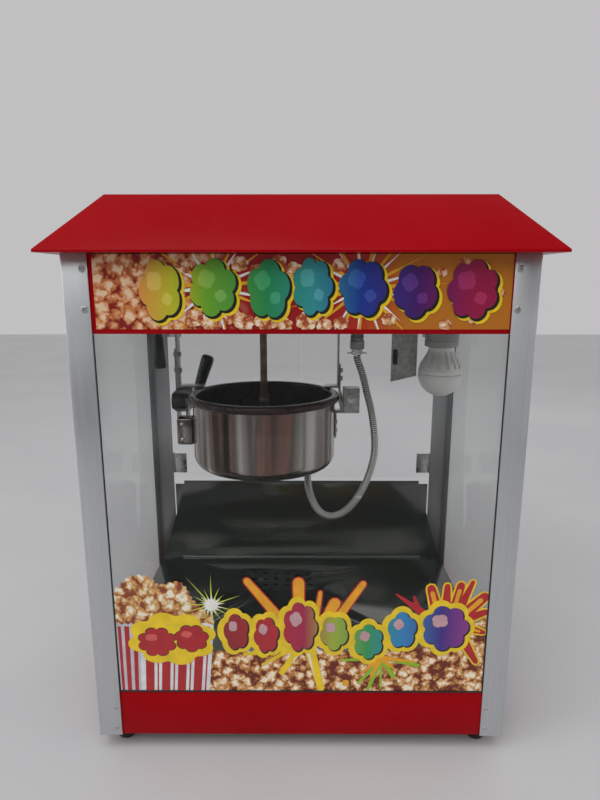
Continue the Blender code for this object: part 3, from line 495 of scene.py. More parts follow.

# ---- Floor, apron and crumb drawer
# Brushed stainless sheet. The floor is an inverted tray with a drilled field above the drawer, whose tray
# is painted near black inside: painted shade seen through the holes. A bar of lighter metal along the
# floor's rear edge is a painted highlight on the crease, and the apron has two bent ears.
brushed = plain_finish("brushed_stainless", (0.125, 0.125, 0.117), 0.22, 1.0)
set_socket(brushed, "Anisotropic", 0.4)
brush_lines = field(brushed, "noise", 10.0, (0.7, 70.0, 70.0), 4.0)
brush_colours = [(0.3, (0.105, 0.105, 0.098)), (0.7, (0.150, 0.150, 0.140))]
paint_with(brushed, colour_stops(brushed, brush_lines, brush_colours))
uneven_gloss(brushed, 6.0, 0.10, 0.17, 2.0)
relief(brushed, brush_lines, 0.000002)
dress("floor_pan", 0.0004, brushed)
dress("rear_apron", 0.0003, brushed)
drawer_piece = dress("crumb_drawer", 0.0003, brushed)
# The faces inside the drawer's tray are painted near black: painted shade under the drilled floor, where
# little light reaches.
drawer_shade_paint = plain_finish("painted_drawer_shade", (0.006, 0.005, 0.004), 0.60)
uneven_gloss(drawer_shade_paint, 40.0, 0.50, 0.75)
drawer_piece.data.materials.append(drawer_shade_paint)
TRAY_LOW, TRAY_HIGH = Vector((-0.1314, -0.0994, 0.0262)), Vector((0.0474, 0.1864, 0.0734))
for face in drawer_piece.data.polygons:
    if all(low < at < high for low, at, high in zip(TRAY_LOW, face.center, TRAY_HIGH)):
        face.material_index = 1
floor_low, floor_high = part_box("floor_pan")
# A thin bar of the brighter screw steel along the floor's rear crease: a painted highlight.
floor_edge_highlight = bar((floor_low[0] + 0.034, floor_high[1] - 0.0016, floor_high[2] + 0.0001),
                 (floor_high[0] - 0.034, floor_high[1] - 0.0001, floor_high[2] + 0.0009), 0.0003)
keep(floor_edge_highlight, "floor_rear_edge_highlight", "cabinet", screw_steel)

# ---- Glazing
# Clear toughened panes: one across the front behind the posts, one on each side. Their edges are ground.


def see_through(material, body, glancing):
    """Clear sheet: it covers what is behind it by its own tint, and more at a glancing angle."""
    nodes, links = material.node_tree.nodes, material.node_tree.links
    edge_on = nodes.new("ShaderNodeLayerWeight")
    steep = nodes.new("ShaderNodeMath")
    steep.operation = "POWER"
    steep.inputs[1].default_value = 4.0
    links.new(edge_on.outputs["Facing"], steep.inputs[0])
    cover = nodes.new("ShaderNodeMath")
    cover.operation = "MULTIPLY_ADD"
    cover.inputs[1].default_value = glancing
    cover.inputs[2].default_value = body
    links.new(steep.outputs["Value"], cover.inputs[0])
    links.new(cover.outputs["Value"], nodes["Principled BSDF"].inputs["Alpha"])


clear_pane = plain_finish("clear_toughened_glass", (0.26, 0.31, 0.29), 0.03, 1.0)
see_through(clear_pane, 0.045, 0.42)
uneven_gloss(clear_pane, 18.0, 0.02, 0.07, 6.0)
for node in ("front_glass", "left_glass", "right_glass"):
    dress(node, 0.0005, clear_pane)

# ---- Doors and their hinges
# Two clear acrylic doors meet in the middle of the back. Each hangs on two plated butt hinges, screwed to
# the post and to the door, and has a small turned knob.
clear_door = plain_finish("clear_acrylic", (0.30, 0.32, 0.32), 0.05, 1.0)
see_through(clear_door, 0.032, 0.35)
uneven_gloss(clear_door, 30.0, 0.03, 0.11, 6.0)
plated = plain_finish("worn_bright_plating", (0.58, 0.58, 0.57), 0.22, 1.0)
uneven_gloss(plated, 120.0, 0.14, 0.38, 5.0)
DOOR_LEAF = 0.019
BARREL_X, BARREL_RADIUS = 0.2290, 0.0036
LEAF_SCREW_INSET, POST_SCREW_X, HINGE_SCREW_RISES = 0.0145, 0.2435, (-0.011, 0.011)
LEAF_FOOT, LEAF_FACE = 0.0001, 0.0011
hinge_screw = screw_head(0.0026, 0.0010)
for side_name, side in (("left", -1), ("right", 1)):
    dress(f"door_panel_{side_name}", 0.0004, clear_door)
    door_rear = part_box(f"door_panel_{side_name}")[1][1]
    for level in ("lower", "upper"):
        place_name = f"{level}_{side_name}"
        node = f"hinge_{place_name}"
        low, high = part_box(node)
        dress(node, 0.0002, plated)
        barrel_x = side * BARREL_X
        middle = (low[2] + high[2]) / 2
        inner = sorted((barrel_x - side * BARREL_RADIUS, barrel_x - side * (BARREL_RADIUS + DOOR_LEAF)))
        leaf_low = (inner[0], door_rear + LEAF_FOOT, low[2])
        leaf = bar(leaf_low, (inner[1], door_rear + LEAF_FACE, high[2]), 0.0003)
        screw_x = barrel_x - side * LEAF_SCREW_INSET
        fixings = [copy_to(hinge_screw, (screw_x, door_rear + LEAF_FACE, middle + rise), (0, 1, 0))
                   for rise in HINGE_SCREW_RISES]
        keep(join_all([leaf] + fixings), f"door_leaf_{place_name}", f"{side_name}_door", plated)
        fixings = [copy_to(hinge_screw, (side * POST_SCREW_X, high[1] - 0.0048, middle + rise), (0, 1, 0))
                   for rise in HINGE_SCREW_RISES]
        keep(join_all(fixings), f"post_hinge_screws_{place_name}", "cabinet", screw_steel)
bpy.data.objects.remove(hinge_screw, do_unlink=True)


def spin_profile(profile, steps=64):
    """Turn a closed profile of (radius, height) points about Z. Points on the axis are welded."""
    bpy.ops.mesh.primitive_circle_add(vertices=len(profile), radius=1.0, location=(0, 0, 0))
    thing = bpy.context.object
    for vertex, (radius, height) in zip(thing.data.vertices, profile):
        vertex.co = (radius, 0.0, height)
    bpy.ops.object.mode_set(mode="EDIT")
    bpy.ops.mesh.select_all(action="SELECT")
    bpy.ops.mesh.spin(steps=steps, angle=math.tau, center=(0, 0, 0), axis=(0, 0, 1))
    bpy.ops.mesh.select_all(action="SELECT")
    bpy.ops.mesh.remove_doubles(threshold=0.000005)
    bpy.ops.mesh.normals_make_consistent(inside=False)
    bpy.ops.object.mode_set(mode="OBJECT")
    return thing


def stand(thing, foot, along):
    """Move a turned shape so that its Z axis starts at foot and points along."""
    thing.location = foot
    thing.rotation_euler = Vector(along).to_track_quat("Z", "Y").to_euler()
    return thing


def bend(centre, radius, start, stop, steps):
    """Points on an arc, angles in degrees."""
    return [(centre[0] + radius * math.cos(math.radians(start + (stop - start) * i / steps)),
             centre[1] + radius * math.sin(math.radians(start + (stop - start) * i / steps)))
            for i in range(steps + 1)]


moulded_black = plain_finish("moulded_black_plastic", (0.011, 0.011, 0.012), 0.30)
uneven_gloss(moulded_black, 45.0, 0.24, 0.42, 6.0)
grain(moulded_black, 900.0, 0.00002)
knob_profile = [(0.0, 0.0), (0.0055, 0.0)] + bend((0.0062, 0.0032), 0.0017, -140, -220, 4)
knob_profile += bend((0.0060, 0.0100), 0.0030, -60, 70, 8) + [(0.0035, 0.0148), (0.0, 0.0152)]
for side_name in ("left", "right"):
    low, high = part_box(f"door_knob_{side_name}")
    knob_foot = ((low[0] + high[0]) / 2, low[1], (low[2] + high[2]) / 2)
    knob = stand(spin_profile(knob_profile, 40), knob_foot, (0, 1, 0))
    keep(knob, f"door_knob_turned_{side_name}", f"{side_name}_door", moulded_black)
    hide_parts(f"door_knob_{side_name}")

# ---- Header
# Folded red panels between the posts, above the glazing, with the zinc plated header floor inside. The
# controls are at the back: three rockers in a black housing, and the gland for the mains lead.
for node in ("header_front_panel", "header_left_panel", "header_right_panel", "control_panel"):
    dress(node, 0.0004, gloss_red)
dress("header_floor", 0.0, zinc_plate)
dress("gear_motor", 0.0006, zinc_plate)
dress("switch_housing", 0.0004, moulded_black)
for name in ("motor", "heat", "light"):
    dress(f"rocker_{name}", 0.0005, moulded_black)
dress("cord_gland", 0.0003, moulded_black)

# ---- Header picture
# A printed vinyl sheet across the front of the header: popcorn at the left, red in the middle and orange at
# the right, with light rays and a row of seven coloured popped kernels, each on a black and a yellow shadow.
LAYER = 0.00018
header_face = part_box("header_front_panel")[0][1]
PICTURE_LEFT, PICTURE_RIGHT, PICTURE_LOW, PICTURE_TOP = -0.2253, 0.2287, 0.5412, 0.6215
PICTURE_EDGES = (PICTURE_LEFT, PICTURE_RIGHT, PICTURE_LOW, PICTURE_TOP)


def cut_shape(outline, face_y, layer):
    """A flat shape of film. The outline is (x, z), and the layer says how far forward it lies."""
    bpy.ops.mesh.primitive_circle_add(vertices=len(outline), radius=1.0, fill_type="NGON", location=(0, 0, 0))
    thing = bpy.context.object
    back = face_y - 0.0001 - LAYER * layer
    for vertex, (x, z) in zip(thing.data.vertices, outline):
        vertex.co = (x, back, z)
    bpy.ops.object.mode_set(mode="EDIT")
    bpy.ops.mesh.select_all(action="SELECT")
    bpy.ops.mesh.extrude_region_move(TRANSFORM_OT_translate={"value": (0.0, -LAYER * 0.8, 0.0)})
    bpy.ops.object.mode_set(mode="OBJECT")
    return thing


def film(name, outlines, face_y, layer, finish, window=None):
    """Several shapes of one colour as one piece of film, trimmed to a window."""
    sheet = join_all([cut_shape(outline, face_y, layer + 0.15 * (index % 4))
                      for index, outline in enumerate(outlines)])
    if window:
        left, right, low, top = window
        trims = (((left, 0, 0), (-1, 0, 0)), ((right, 0, 0), (1, 0, 0)), ((0, 0, low), (0, 0, -1)),
                 ((0, 0, top), (0, 0, 1)))
        for place, outward in trims:
            bpy.ops.object.mode_set(mode="EDIT")
            bpy.ops.mesh.select_all(action="SELECT")
            bpy.ops.mesh.bisect(plane_co=place, plane_no=outward, use_fill=True, clear_outer=True)
            bpy.ops.object.mode_set(mode="OBJECT")
    return keep(sheet, name, "cabinet", finish, 20.0)


def kernel(centre, width, height, lobes, turn, grow=0.0, shift=(0.0, 0.0)):
    """Outline of a popped kernel: round lobes about a middle."""
    points = []
    for step in range(72):
        angle = math.tau * step / 72
        lobe = abs(math.sin(lobes * angle / 2 + turn)) ** 0.7
        size = 0.80 + 0.20 * lobe
        points.append((centre[0] + shift[0] + (width / 2 * size + grow) * math.cos(angle),
                       centre[1] + shift[1] + (height / 2 * size + grow) * math.sin(angle)))
    return points


def rays(centre, inner, tips):
    """A star: each tip is (angle in degrees, length, half width in degrees)."""
    points = []
    for angle, length, half in tips:
        for turn, size in ((angle - half, inner), (angle, length), (angle + half, inner)):
            points.append((centre[0] + size * math.cos(math.radians(turn)),
                           centre[1] + size * math.sin(math.radians(turn))))
    return points


def even_rays(count, length, half, start=0.0, swing=0.35):
    """Tips for a star with unequal rays."""
    return [(start + 360 * i / count, length * (1 - swing * (i * 7 % 5) / 4), half) for i in range(count)]


def ink(name, colour, roughness=0.24):
    """Printed film in one colour, with the slight unevenness of the print."""
    material = plain_finish(name, colour, roughness)
    darker = tuple(0.86 * c for c in colour)
    lighter = tuple(min(1.0, 1.10 * c) for c in colour)
    mottle(material, 70.0, [(0.3, darker), (0.7, lighter)], detail=5.0)
    set_socket(material, "Coat Weight", 0.25)
    return material


def popcorn_colours(material, scale, pale, warm, dark):
    """Heaped popcorn: soft cells in pale cream, with warm hollows and dark gaps. Returns a colour socket."""
    nodes, links = material.node_tree.nodes, material.node_tree.links
    where = nodes.new("ShaderNodeTexCoord")
    wander = nodes.new("ShaderNodeTexNoise")
    wander.inputs["Scale"].default_value = scale * 1.3
    wander.inputs["Detail"].default_value = 2.0
    links.new(where.outputs["Object"], wander.inputs["Vector"])
    push = nodes.new("ShaderNodeVectorMath")
    push.operation = "MULTIPLY_ADD"
    push.inputs[1].default_value = (0.9 / scale, 0.9 / scale, 0.9 / scale)
    links.new(wander.outputs["Color"], push.inputs[0])
    links.new(where.outputs["Object"], push.inputs[2])
    big = nodes.new("ShaderNodeTexVoronoi")
    big.inputs["Scale"].default_value = scale
    links.new(push.outputs["Vector"], big.inputs["Vector"])
    small = nodes.new("ShaderNodeTexVoronoi")
    small.inputs["Scale"].default_value = scale * 2.7
    links.new(push.outputs["Vector"], small.inputs["Vector"])
    blend = nodes.new("ShaderNodeMath")
    blend.operation = "MULTIPLY_ADD"
    blend.inputs[1].default_value = 0.45
    links.new(small.outputs["Distance"], blend.inputs[0])
    links.new(big.outputs["Distance"], blend.inputs[2])
    return colour_stops(material, blend.outputs["Value"],
                        [(0.0, pale), (0.46, pale), (0.70, warm), (0.96, dark)])


def blend_colours(material, amount, first, second):
    """Two colours mixed by an amount."""
    mix = material.node_tree.nodes.new("ShaderNodeMix")
    mix.data_type = "RGBA"
    links = material.node_tree.links
    links.new(amount, mix.inputs[0])
    links.new(first, mix.inputs[6])
    links.new(second, mix.inputs[7])
    return mix.outputs[2]


def along_x(material, waver, scale=30.0):
    """The x coordinate in metres, with a ragged edge added."""
    nodes, links = material.node_tree.nodes, material.node_tree.links
    where = nodes.new("ShaderNodeTexCoord")
    parts = nodes.new("ShaderNodeSeparateXYZ")
    links.new(where.outputs["Object"], parts.inputs["Vector"])
    noise = nodes.new("ShaderNodeTexNoise")
    noise.inputs["Scale"].default_value = scale
    links.new(where.outputs["Object"], noise.inputs["Vector"])
    total = nodes.new("ShaderNodeMath")
    total.operation = "MULTIPLY_ADD"
    total.inputs[1].default_value = waver
    links.new(noise.outputs["Fac"], total.inputs[0])
    links.new(parts.outputs["X"], total.inputs[2])
    return total.outputs["Value"]


def ramp_x(material, start, stop, stops, waver=0.0):
    """A colour band that runs across the piece from one x to another."""
    scaled = material.node_tree.nodes.new("ShaderNodeMapRange")
    scaled.inputs["From Min"].default_value = start
    scaled.inputs["From Max"].default_value = stop
    material.node_tree.links.new(along_x(material, waver), scaled.inputs["Value"])
    return colour_stops(material, scaled.outputs["Result"], stops)


def header_film(name, outlines, layer, finish):
    """One colour of the header picture, trimmed to the sheet's edges."""
    film(f"header_picture_{name}", outlines, header_face, layer, finish, PICTURE_EDGES)


def kernel_row(row, step, first, grow=0.0, shift=(0.0, 0.0)):
    """The outlines of a row of kernels, each turned a step further than the last."""
    return [kernel((x, z), w, h, lobes, step * i + first, grow, shift)
            for i, (x, z, w, h, lobes) in enumerate(row)]


def shine(entry, right, up, wide, tall, turn):
    """A pale highlight on a kernel, its place and size as shares of the kernel's."""
    x, z, w, h, lobes = entry
    return kernel((x + w * right, z + h * up), w * wide, h * tall, 4, turn)


PALE_CORN, WARM_CORN, DARK_CORN = (0.80, 0.56, 0.36), (0.62, 0.22, 0.07), (0.22, 0.008, 0.006)
PRINT_RED, PRINT_ORANGE = (0.30, 0.003, 0.005), (0.47, 0.155, 0.010)
header_ground = plain_finish("header_picture_ground", (0.5, 0.1, 0.05), 0.24)
corn = popcorn_colours(header_ground, 78.0, PALE_CORN, WARM_CORN, DARK_CORN)
body_stops = [(0.0, PRINT_RED), (0.35, (0.42, 0.02, 0.008)), (0.75, PRINT_ORANGE)]
body_colour = ramp_x(header_ground, 0.05, 0.17, body_stops, 0.05)
edge = ramp_x(header_ground, -0.13, 0.02, [(0.35, (0.0, 0.0, 0.0)), (0.65, (1.0, 1.0, 1.0))], 0.06)
paint_with(header_ground, blend_colours(header_ground, edge, corn, body_colour))
set_socket(header_ground, "Coat Weight", 0.3)
ground = [(PICTURE_LEFT, PICTURE_LOW), (PICTURE_RIGHT, PICTURE_LOW), (PICTURE_RIGHT, PICTURE_TOP),
          (PICTURE_LEFT, PICTURE_TOP)]
film("header_picture_sheet", [ground], header_face, 0, header_ground)

PRINT_YELLOW, PRINT_WHITE = (0.83, 0.58, 0.012), (0.82, 0.80, 0.76)
yellow_ink = ink("print_yellow", PRINT_YELLOW)
gold_ink = ink("print_gold", (0.72, 0.36, 0.02))
white_ink = ink("print_white", PRINT_WHITE)
black_ink = ink("print_black", (0.012, 0.012, 0.010))
LEFT_BURST, RIGHT_BURST = (-0.0955, 0.586), (0.067, 0.586)
header_film("rays", [rays(LEFT_BURST, 0.020, even_rays(13, 0.088, 6.5, 8.0)),
                     rays(RIGHT_BURST, 0.020, even_rays(15, 0.094, 6.0, 3.0))], 1, gold_ink)
header_film("glow", [rays(LEFT_BURST, 0.018, even_rays(11, 0.066, 7.0, 22.0)),
                     rays(RIGHT_BURST, 0.018, even_rays(13, 0.068, 6.0, 15.0))], 2, white_ink)
loose_corn = plain_finish("loose_popcorn_print", PALE_CORN, 0.26)
paint_with(loose_corn, popcorn_colours(loose_corn, 120.0, (0.86, 0.70, 0.54), (0.70, 0.36, 0.16),
                                       (0.34, 0.06, 0.02)))
LOOSE = ((-0.118, 0.553, 0.020), (-0.100, 0.548, 0.017), (-0.062, 0.549, 0.020), (-0.038, 0.551, 0.024),
         (-0.018, 0.546, 0.016), (0.006, 0.550, 0.021), (0.026, 0.545, 0.016), (0.044, 0.548, 0.015),
         (-0.066, 0.611, 0.017), (-0.048, 0.604, 0.014), (0.022, 0.603, 0.015), (0.096, 0.552, 0.014),
         (0.158, 0.546, 0.013), (0.196, 0.606, 0.017), (0.216, 0.580, 0.011), (0.176, 0.612, 0.012),
         (-0.126, 0.609, 0.017), (0.152, 0.602, 0.010), (-0.008, 0.604, 0.019), (-0.076, 0.556, 0.020),
         (0.014, 0.558, 0.018), (-0.024, 0.613, 0.016), (0.042, 0.610, 0.015), (0.190, 0.552, 0.012))
header_film("loose_corn", [kernel((x, z), size * 1.15, size, 5 + index % 3, index * 0.9)
                           for index, (x, z, size) in enumerate(LOOSE)], 3, loose_corn)

rainbow = plain_finish("header_rainbow_print", (0.1, 0.3, 0.1), 0.2)
RAINBOW_STOPS = [(0.0, (0.72, 0.26, 0.06)), (0.10, (0.50, 0.48, 0.02)), (0.20, (0.13, 0.36, 0.02)),
                 (0.36, (0.015, 0.24, 0.07)), (0.49, (0.03, 0.28, 0.30)), (0.62, (0.008, 0.035, 0.28)),
                 (0.78, (0.055, 0.008, 0.13)), (0.93, (0.30, 0.006, 0.055))]
paint_with(rainbow, ramp_x(rainbow, -0.180, 0.215, RAINBOW_STOPS))
set_socket(rainbow, "Coat Weight", 0.5)
ROW = ((-0.1530, 0.583, 0.046, 0.066, 5), (-0.0955, 0.586, 0.052, 0.062, 6),
       (-0.0355, 0.584, 0.047, 0.064, 5), (0.0125, 0.587, 0.044, 0.062, 7),
       (0.0670, 0.586, 0.052, 0.062, 6), (0.1240, 0.583, 0.048, 0.058, 5),
       (0.1860, 0.584, 0.056, 0.064, 7))
header_film("yellow_shadow", kernel_row(ROW, 0.5, 0.0, 0.0022, (0.0042, -0.0034)), 4, yellow_ink)
header_film("black_shadow", kernel_row(ROW, 0.5, 0.0, 0.0014, (0.0018, -0.0016)), 5, black_ink)
header_film("kernels", kernel_row(ROW, 0.5, 0.0), 6, rainbow)
pale_rainbow = plain_finish("header_pale_rainbow_print", (0.2, 0.4, 0.2), 0.2)
PALE_STOPS = [(0.0, (0.80, 0.38, 0.14)), (0.10, (0.60, 0.58, 0.07)), (0.20, (0.23, 0.46, 0.07)),
              (0.36, (0.05, 0.35, 0.14)), (0.49, (0.09, 0.39, 0.41)), (0.62, (0.03, 0.085, 0.39)),
              (0.78, (0.12, 0.03, 0.22)), (0.93, (0.41, 0.03, 0.11))]
paint_with(pale_rainbow, ramp_x(pale_rainbow, -0.180, 0.215, PALE_STOPS))
shines = []
for i, entry in enumerate(ROW):
    shines.append(shine(entry, -0.13, 0.15, 0.38, 0.34, i))
    shines.append(shine(entry, 0.16, -0.14, 0.26, 0.22, i + 1))
header_film("shine", shines, 7, pale_rainbow)

# ---- Picture on the front glass
# Cut vinyl film on the lower half of the front pane: a striped popcorn tub with its heap, a band of popcorn,
# light rays, splashes, a yellow badge and a second row of coloured kernels with wide yellow edges.
glass_face = front_low[1]
GLASS_WINDOW = (-0.2288, 0.2288, front_low[2] + 0.0005, 0.2500)


def glass_film(name, outlines, layer, finish):
    """One colour of the picture on the front pane, trimmed to the printed area."""
    film(f"glass_picture_{name}", outlines, glass_face, layer, finish, GLASS_WINDOW)


def strip(foot, tip, foot_half, tip_half):
    """A tapered strip with a rounded end."""
    foot, tip = Vector(foot), Vector(tip)
    ahead = (tip - foot).normalized()
    across = Vector((-ahead.y, ahead.x))
    points = [foot + across * foot_half, foot - across * foot_half]
    for step in range(5):
        angle = math.radians(-90 + 45 * step)
        points.append(tip + ahead * tip_half * math.cos(angle) + across * tip_half * math.sin(angle))
    return [tuple(p) for p in points]


def lumpy(stations, lump, closed_from):
    """An outline whose upper edge is broken into round lumps. Points from closed_from on stay straight."""
    points = []
    for index in range(closed_from):
        a, b = Vector(stations[index]), Vector(stations[index + 1])
        out = Vector((-(b - a).y, (b - a).x)).normalized()
        count = max(1, round((b - a).length / lump))
        for part in range(count):
            for step in range(5):
                t = (part + step / 5) / count
                points.append(tuple(a.lerp(b, t) + out * lump * 0.34 * math.sin(math.pi * step / 5)))
    return points + [tuple(p) for p in stations[closed_from:]]


glass_corn = plain_finish("glass_popcorn_print", WARM_CORN, 0.26)
paint_with(glass_corn, popcorn_colours(glass_corn, 92.0, (0.92, 0.82, 0.64), (0.66, 0.30, 0.08),
                                       (0.15, 0.020, 0.010)))
heap_corn = plain_finish("heap_popcorn_print", PALE_CORN, 0.26)
paint_with(heap_corn, popcorn_colours(heap_corn, 80.0, (0.88, 0.82, 0.68), (0.68, 0.38, 0.12),
                                      (0.26, 0.050, 0.02)))
band = [(-0.118, 0.140), (-0.062, 0.141), (-0.018, 0.144), (0.040, 0.141), (0.080, 0.139), (0.120, 0.144),
        (0.155, 0.148), (0.185, 0.152), (0.203, 0.172), (0.2288, 0.190), (0.2288, 0.0868), (-0.118, 0.0868)]
glass_film("corn_band", [lumpy(band, 0.011, 9)], 0, glass_corn)
heap = [(-0.2286, 0.206), (-0.2278, 0.2215), (-0.2190, 0.2310), (-0.2085, 0.2420), (-0.1930, 0.2445),
        (-0.1830, 0.2400), (-0.1735, 0.2300), (-0.1635, 0.2330), (-0.1485, 0.2365), (-0.1395, 0.2260),
        (-0.1345, 0.2120), (-0.1235, 0.2020), (-0.1125, 0.1930), (-0.1080, 0.1800), (-0.2286, 0.1780)]
glass_film("heap", [lumpy(heap, 0.009, 13)], 1, heap_corn)

# The tub stands with one corner towards the viewer, so its stripes run on two faces.
TUB_TOP, TUB_LOW, TUB_CORNER_TOP, TUB_CORNER_LOW = 0.1800, 0.0868, -0.1985, -0.2020
tub_white = ink("tub_white", (0.74, 0.73, 0.74))
tub_red = ink("tub_red", (0.42, 0.012, 0.018))
tub_shade = ink("tub_shaded_white", (0.56, 0.54, 0.58))


def tub_edge(share, top):
    """The x of a stripe's edge, where share runs over the two faces from -1 through the corner at 0 to 1."""
    corner = TUB_CORNER_TOP if top else TUB_CORNER_LOW
    left = -0.2286 if top else -0.2280
    right = -0.1075 if top else -0.1155
    return corner + (corner - left if share < 0 else right - corner) * share


def stripe(start, stop, top_z):
    """One stripe of the tub, between two shares."""
    return [(tub_edge(start, False), TUB_LOW), (tub_edge(stop, False), TUB_LOW),
            (tub_edge(stop, True), top_z), (tub_edge(start, True), top_z)]


teeth = []
for index in range(17):
    share = -1 + 2 * index / 16
    teeth.append((tub_edge(share, True), TUB_TOP + (0.0022 if index % 2 else -0.0010)))
tub_front = [(tub_edge(0, False), TUB_LOW), (tub_edge(1, False), TUB_LOW)] + teeth[:7:-1]
tub_side = [(tub_edge(-1, False), TUB_LOW), (tub_edge(0, False), TUB_LOW)] + teeth[8::-1]
glass_film("tub", [tub_front], 2, tub_white)
glass_film("tub_side", [tub_side], 2, tub_shade)
bands = [(-0.93, -0.80), (-0.66, -0.46), (-0.30, -0.12), (0.07, 0.19), (0.235, 0.255), (0.30, 0.42),
         (0.465, 0.485), (0.53, 0.65), (0.695, 0.715), (0.76, 0.88), (0.925, 0.945)]
glass_film("tub_stripes", [stripe(a, b, TUB_TOP - 0.003) for a, b in bands], 3, tub_red)

red_ink = ink("splash_red", (0.46, 0.010, 0.012))
orange_ink = ink("ray_orange", (0.80, 0.36, 0.012))
green_ink = ink("splash_green", (0.28, 0.50, 0.015))
lime_ink = ink("spark_lime", (0.62, 0.72, 0.06))
BEAMS = (((-0.0180, 0.178), (-0.0655, 0.2385), 0.0062, 0.0042),
         ((-0.0020, 0.175), (-0.0028, 0.2365), 0.0058, 0.0068),
         ((0.0180, 0.178), (0.0238, 0.2235), 0.0032, 0.0022),
         ((0.0420, 0.184), (0.0755, 0.2350), 0.0052, 0.0038),
         ((0.0270, 0.180), (0.0415, 0.2090), 0.0050, 0.0070))
glass_film("beam_edges", [strip(a, b, c + 0.0016, d + 0.0016) for a, b, c, d in BEAMS], 2, red_ink)
glass_film("beams", [strip(*beam) for beam in BEAMS], 3, orange_ink)
RIGHT_TIPS = (((0.158, 0.190), (0.1165, 0.2215), 0.006, 0.0012),
              ((0.168, 0.195), (0.1585, 0.2290), 0.007, 0.0052),
              ((0.178, 0.195), (0.1780, 0.2320), 0.006, 0.0036),
              ((0.186, 0.195), (0.1945, 0.2330), 0.006, 0.0048),
              ((0.192, 0.195), (0.2085, 0.2375), 0.006, 0.0026),
              ((0.198, 0.192), (0.2240, 0.2180), 0.008, 0.0058),
              ((0.198, 0.186), (0.2262, 0.1975), 0.006, 0.0040),
              ((0.198, 0.178), (0.2250, 0.1700), 0.006, 0.0030),
              ((0.196, 0.168), (0.2185, 0.1290), 0.007, 0.0032),
              ((0.150, 0.188), (0.1380, 0.2180), 0.004, 0.0016))
glass_film("right_edges", [strip(a, b, c + 0.0026, d + 0.0020) for a, b, c, d in RIGHT_TIPS[1:9]], 2,
           yellow_ink)
glass_film("right_splash", [strip(*tip) for tip in RIGHT_TIPS], 3, red_ink)
glass_film("right_sparks", [strip(a, Vector(a).lerp(Vector(b), 0.82), c * 0.3, d * 0.55)
                            for a, b, c, d in RIGHT_TIPS[1:8:2]], 4, orange_ink)
LOW_BEAMS = (((0.006, 0.158), (-0.0240, 0.1130), 0.0052, 0.0035),
             ((0.008, 0.158), (0.0255, 0.0905), 0.0075, 0.0042),
             ((-0.002, 0.150), (-0.0700, 0.1385), 0.0060, 0.0020),
             ((0.004, 0.156), (-0.0480, 0.1240), 0.0035, 0.0015))
glass_film("low_beams", [strip(*beam) for beam in LOW_BEAMS], 3, yellow_ink)
LOW_TIPS = ((60, 0.030, 12), (118, 0.028, 12), (180, 0.024, 14), (238, 0.034, 10), (284, 0.050, 9),
            (330, 0.022, 12))
glass_film("low_glow", [rays((0.006, 0.154), 0.012, LOW_TIPS)], 4, white_ink)
GREEN_TIPS = (((0.100, 0.133), (0.0500, 0.1305), 0.003, 0.0014),
              ((0.100, 0.130), (0.0725, 0.0985), 0.003, 0.0015),
              ((0.100, 0.130), (0.0850, 0.0895), 0.003, 0.0020),
              ((0.102, 0.132), (0.1165, 0.1075), 0.003, 0.0028),
              ((0.104, 0.134), (0.1465, 0.1235), 0.003, 0.0026),
              ((0.100, 0.130), (0.1010, 0.0900), 0.002, 0.0008))
DROP = (0.0565, 0.0985)
LOW_SPARKS = ((0.0760, 0.1120), (0.0880, 0.1060), (0.1420, 0.1290), (0.1180, 0.1180))
glass_film("green_splash", [strip(*tip) for tip in GREEN_TIPS] + [kernel(DROP, 0.004, 0.004, 3, 0.4)], 3,
           green_ink)
glass_film("low_sparks", [strip((0.100, 0.134), tip, 0.0035, 0.0012) for tip in LOW_SPARKS]
           + [kernel(DROP, 0.0095, 0.0095, 4, 0.0)], 4, orange_ink)
SPARK = (-0.1095, 0.2065)
SPARK_TIPS = ((20, 0.038, 6), (42, 0.020, 6), (66, 0.026, 6), (90, 0.041, 7), (112, 0.022, 6),
              (129, 0.048, 6), (152, 0.024, 6), (178, 0.054, 5), (197, 0.040, 6), (222, 0.024, 6),
              (248, 0.030, 6), (273, 0.050, 6), (298, 0.024, 6), (325, 0.026, 6), (345, 0.038, 5))
glass_film("spark", [rays(SPARK, 0.0075, SPARK_TIPS)], 4, lime_ink)
glass_film("spark_glow", [rays(SPARK, 0.0080, even_rays(14, 0.017, 8.0, 10.0))], 5, white_ink)

glass_rainbow = plain_finish("glass_rainbow_print", (0.3, 0.1, 0.1), 0.2)
GLASS_STOPS = [(0.0, (0.24, 0.006, 0.010)), (0.20, (0.44, 0.010, 0.020)), (0.32, (0.36, 0.006, 0.060)),
               (0.43, (0.34, 0.42, 0.03)), (0.56, (0.02, 0.30, 0.08)), (0.69, (0.02, 0.22, 0.50)),
               (0.84, (0.035, 0.012, 0.22)), (0.97, (0.32, 0.03, 0.24))]
paint_with(glass_rainbow, ramp_x(glass_rainbow, -0.100, 0.225, GLASS_STOPS))
set_socket(glass_rainbow, "Coat Weight", 0.5)
GLASS_ROW = ((-0.0800, 0.170, 0.031, 0.050, 5), (-0.0430, 0.166, 0.031, 0.050, 6),
             (-0.0010, 0.177, 0.043, 0.068, 7), (0.0410, 0.169, 0.035, 0.048, 5),
             (0.0835, 0.157, 0.037, 0.048, 6), (0.1250, 0.173, 0.036, 0.050, 5),
             (0.1780, 0.176, 0.058, 0.062, 7))
row_shine = ink("row_shine", (0.55, 0.33, 0.36))
glass_film("row_edges", kernel_row(GLASS_ROW, 0.7, 0.3, 0.0078), 5, yellow_ink)
glass_film("row_shadows", kernel_row(GLASS_ROW, 0.7, 0.3, 0.0008, (0.0014, -0.0012)), 6, black_ink)
glass_film("row_kernels", kernel_row(GLASS_ROW, 0.7, 0.3), 7, glass_rainbow)
glass_film("row_shine", [shine(entry, -0.12, 0.16, 0.36, 0.30, i) for i, entry in enumerate(GLASS_ROW)], 8,
           row_shine)
BADGE = (-0.1600, 0.1600)
PAIR = ((-0.1785, 0.1560, 0.048, 0.040, 8), (-0.1355, 0.1610, 0.042, 0.037, 7))
badge_shine = ink("badge_shine", (0.66, 0.10, 0.09))
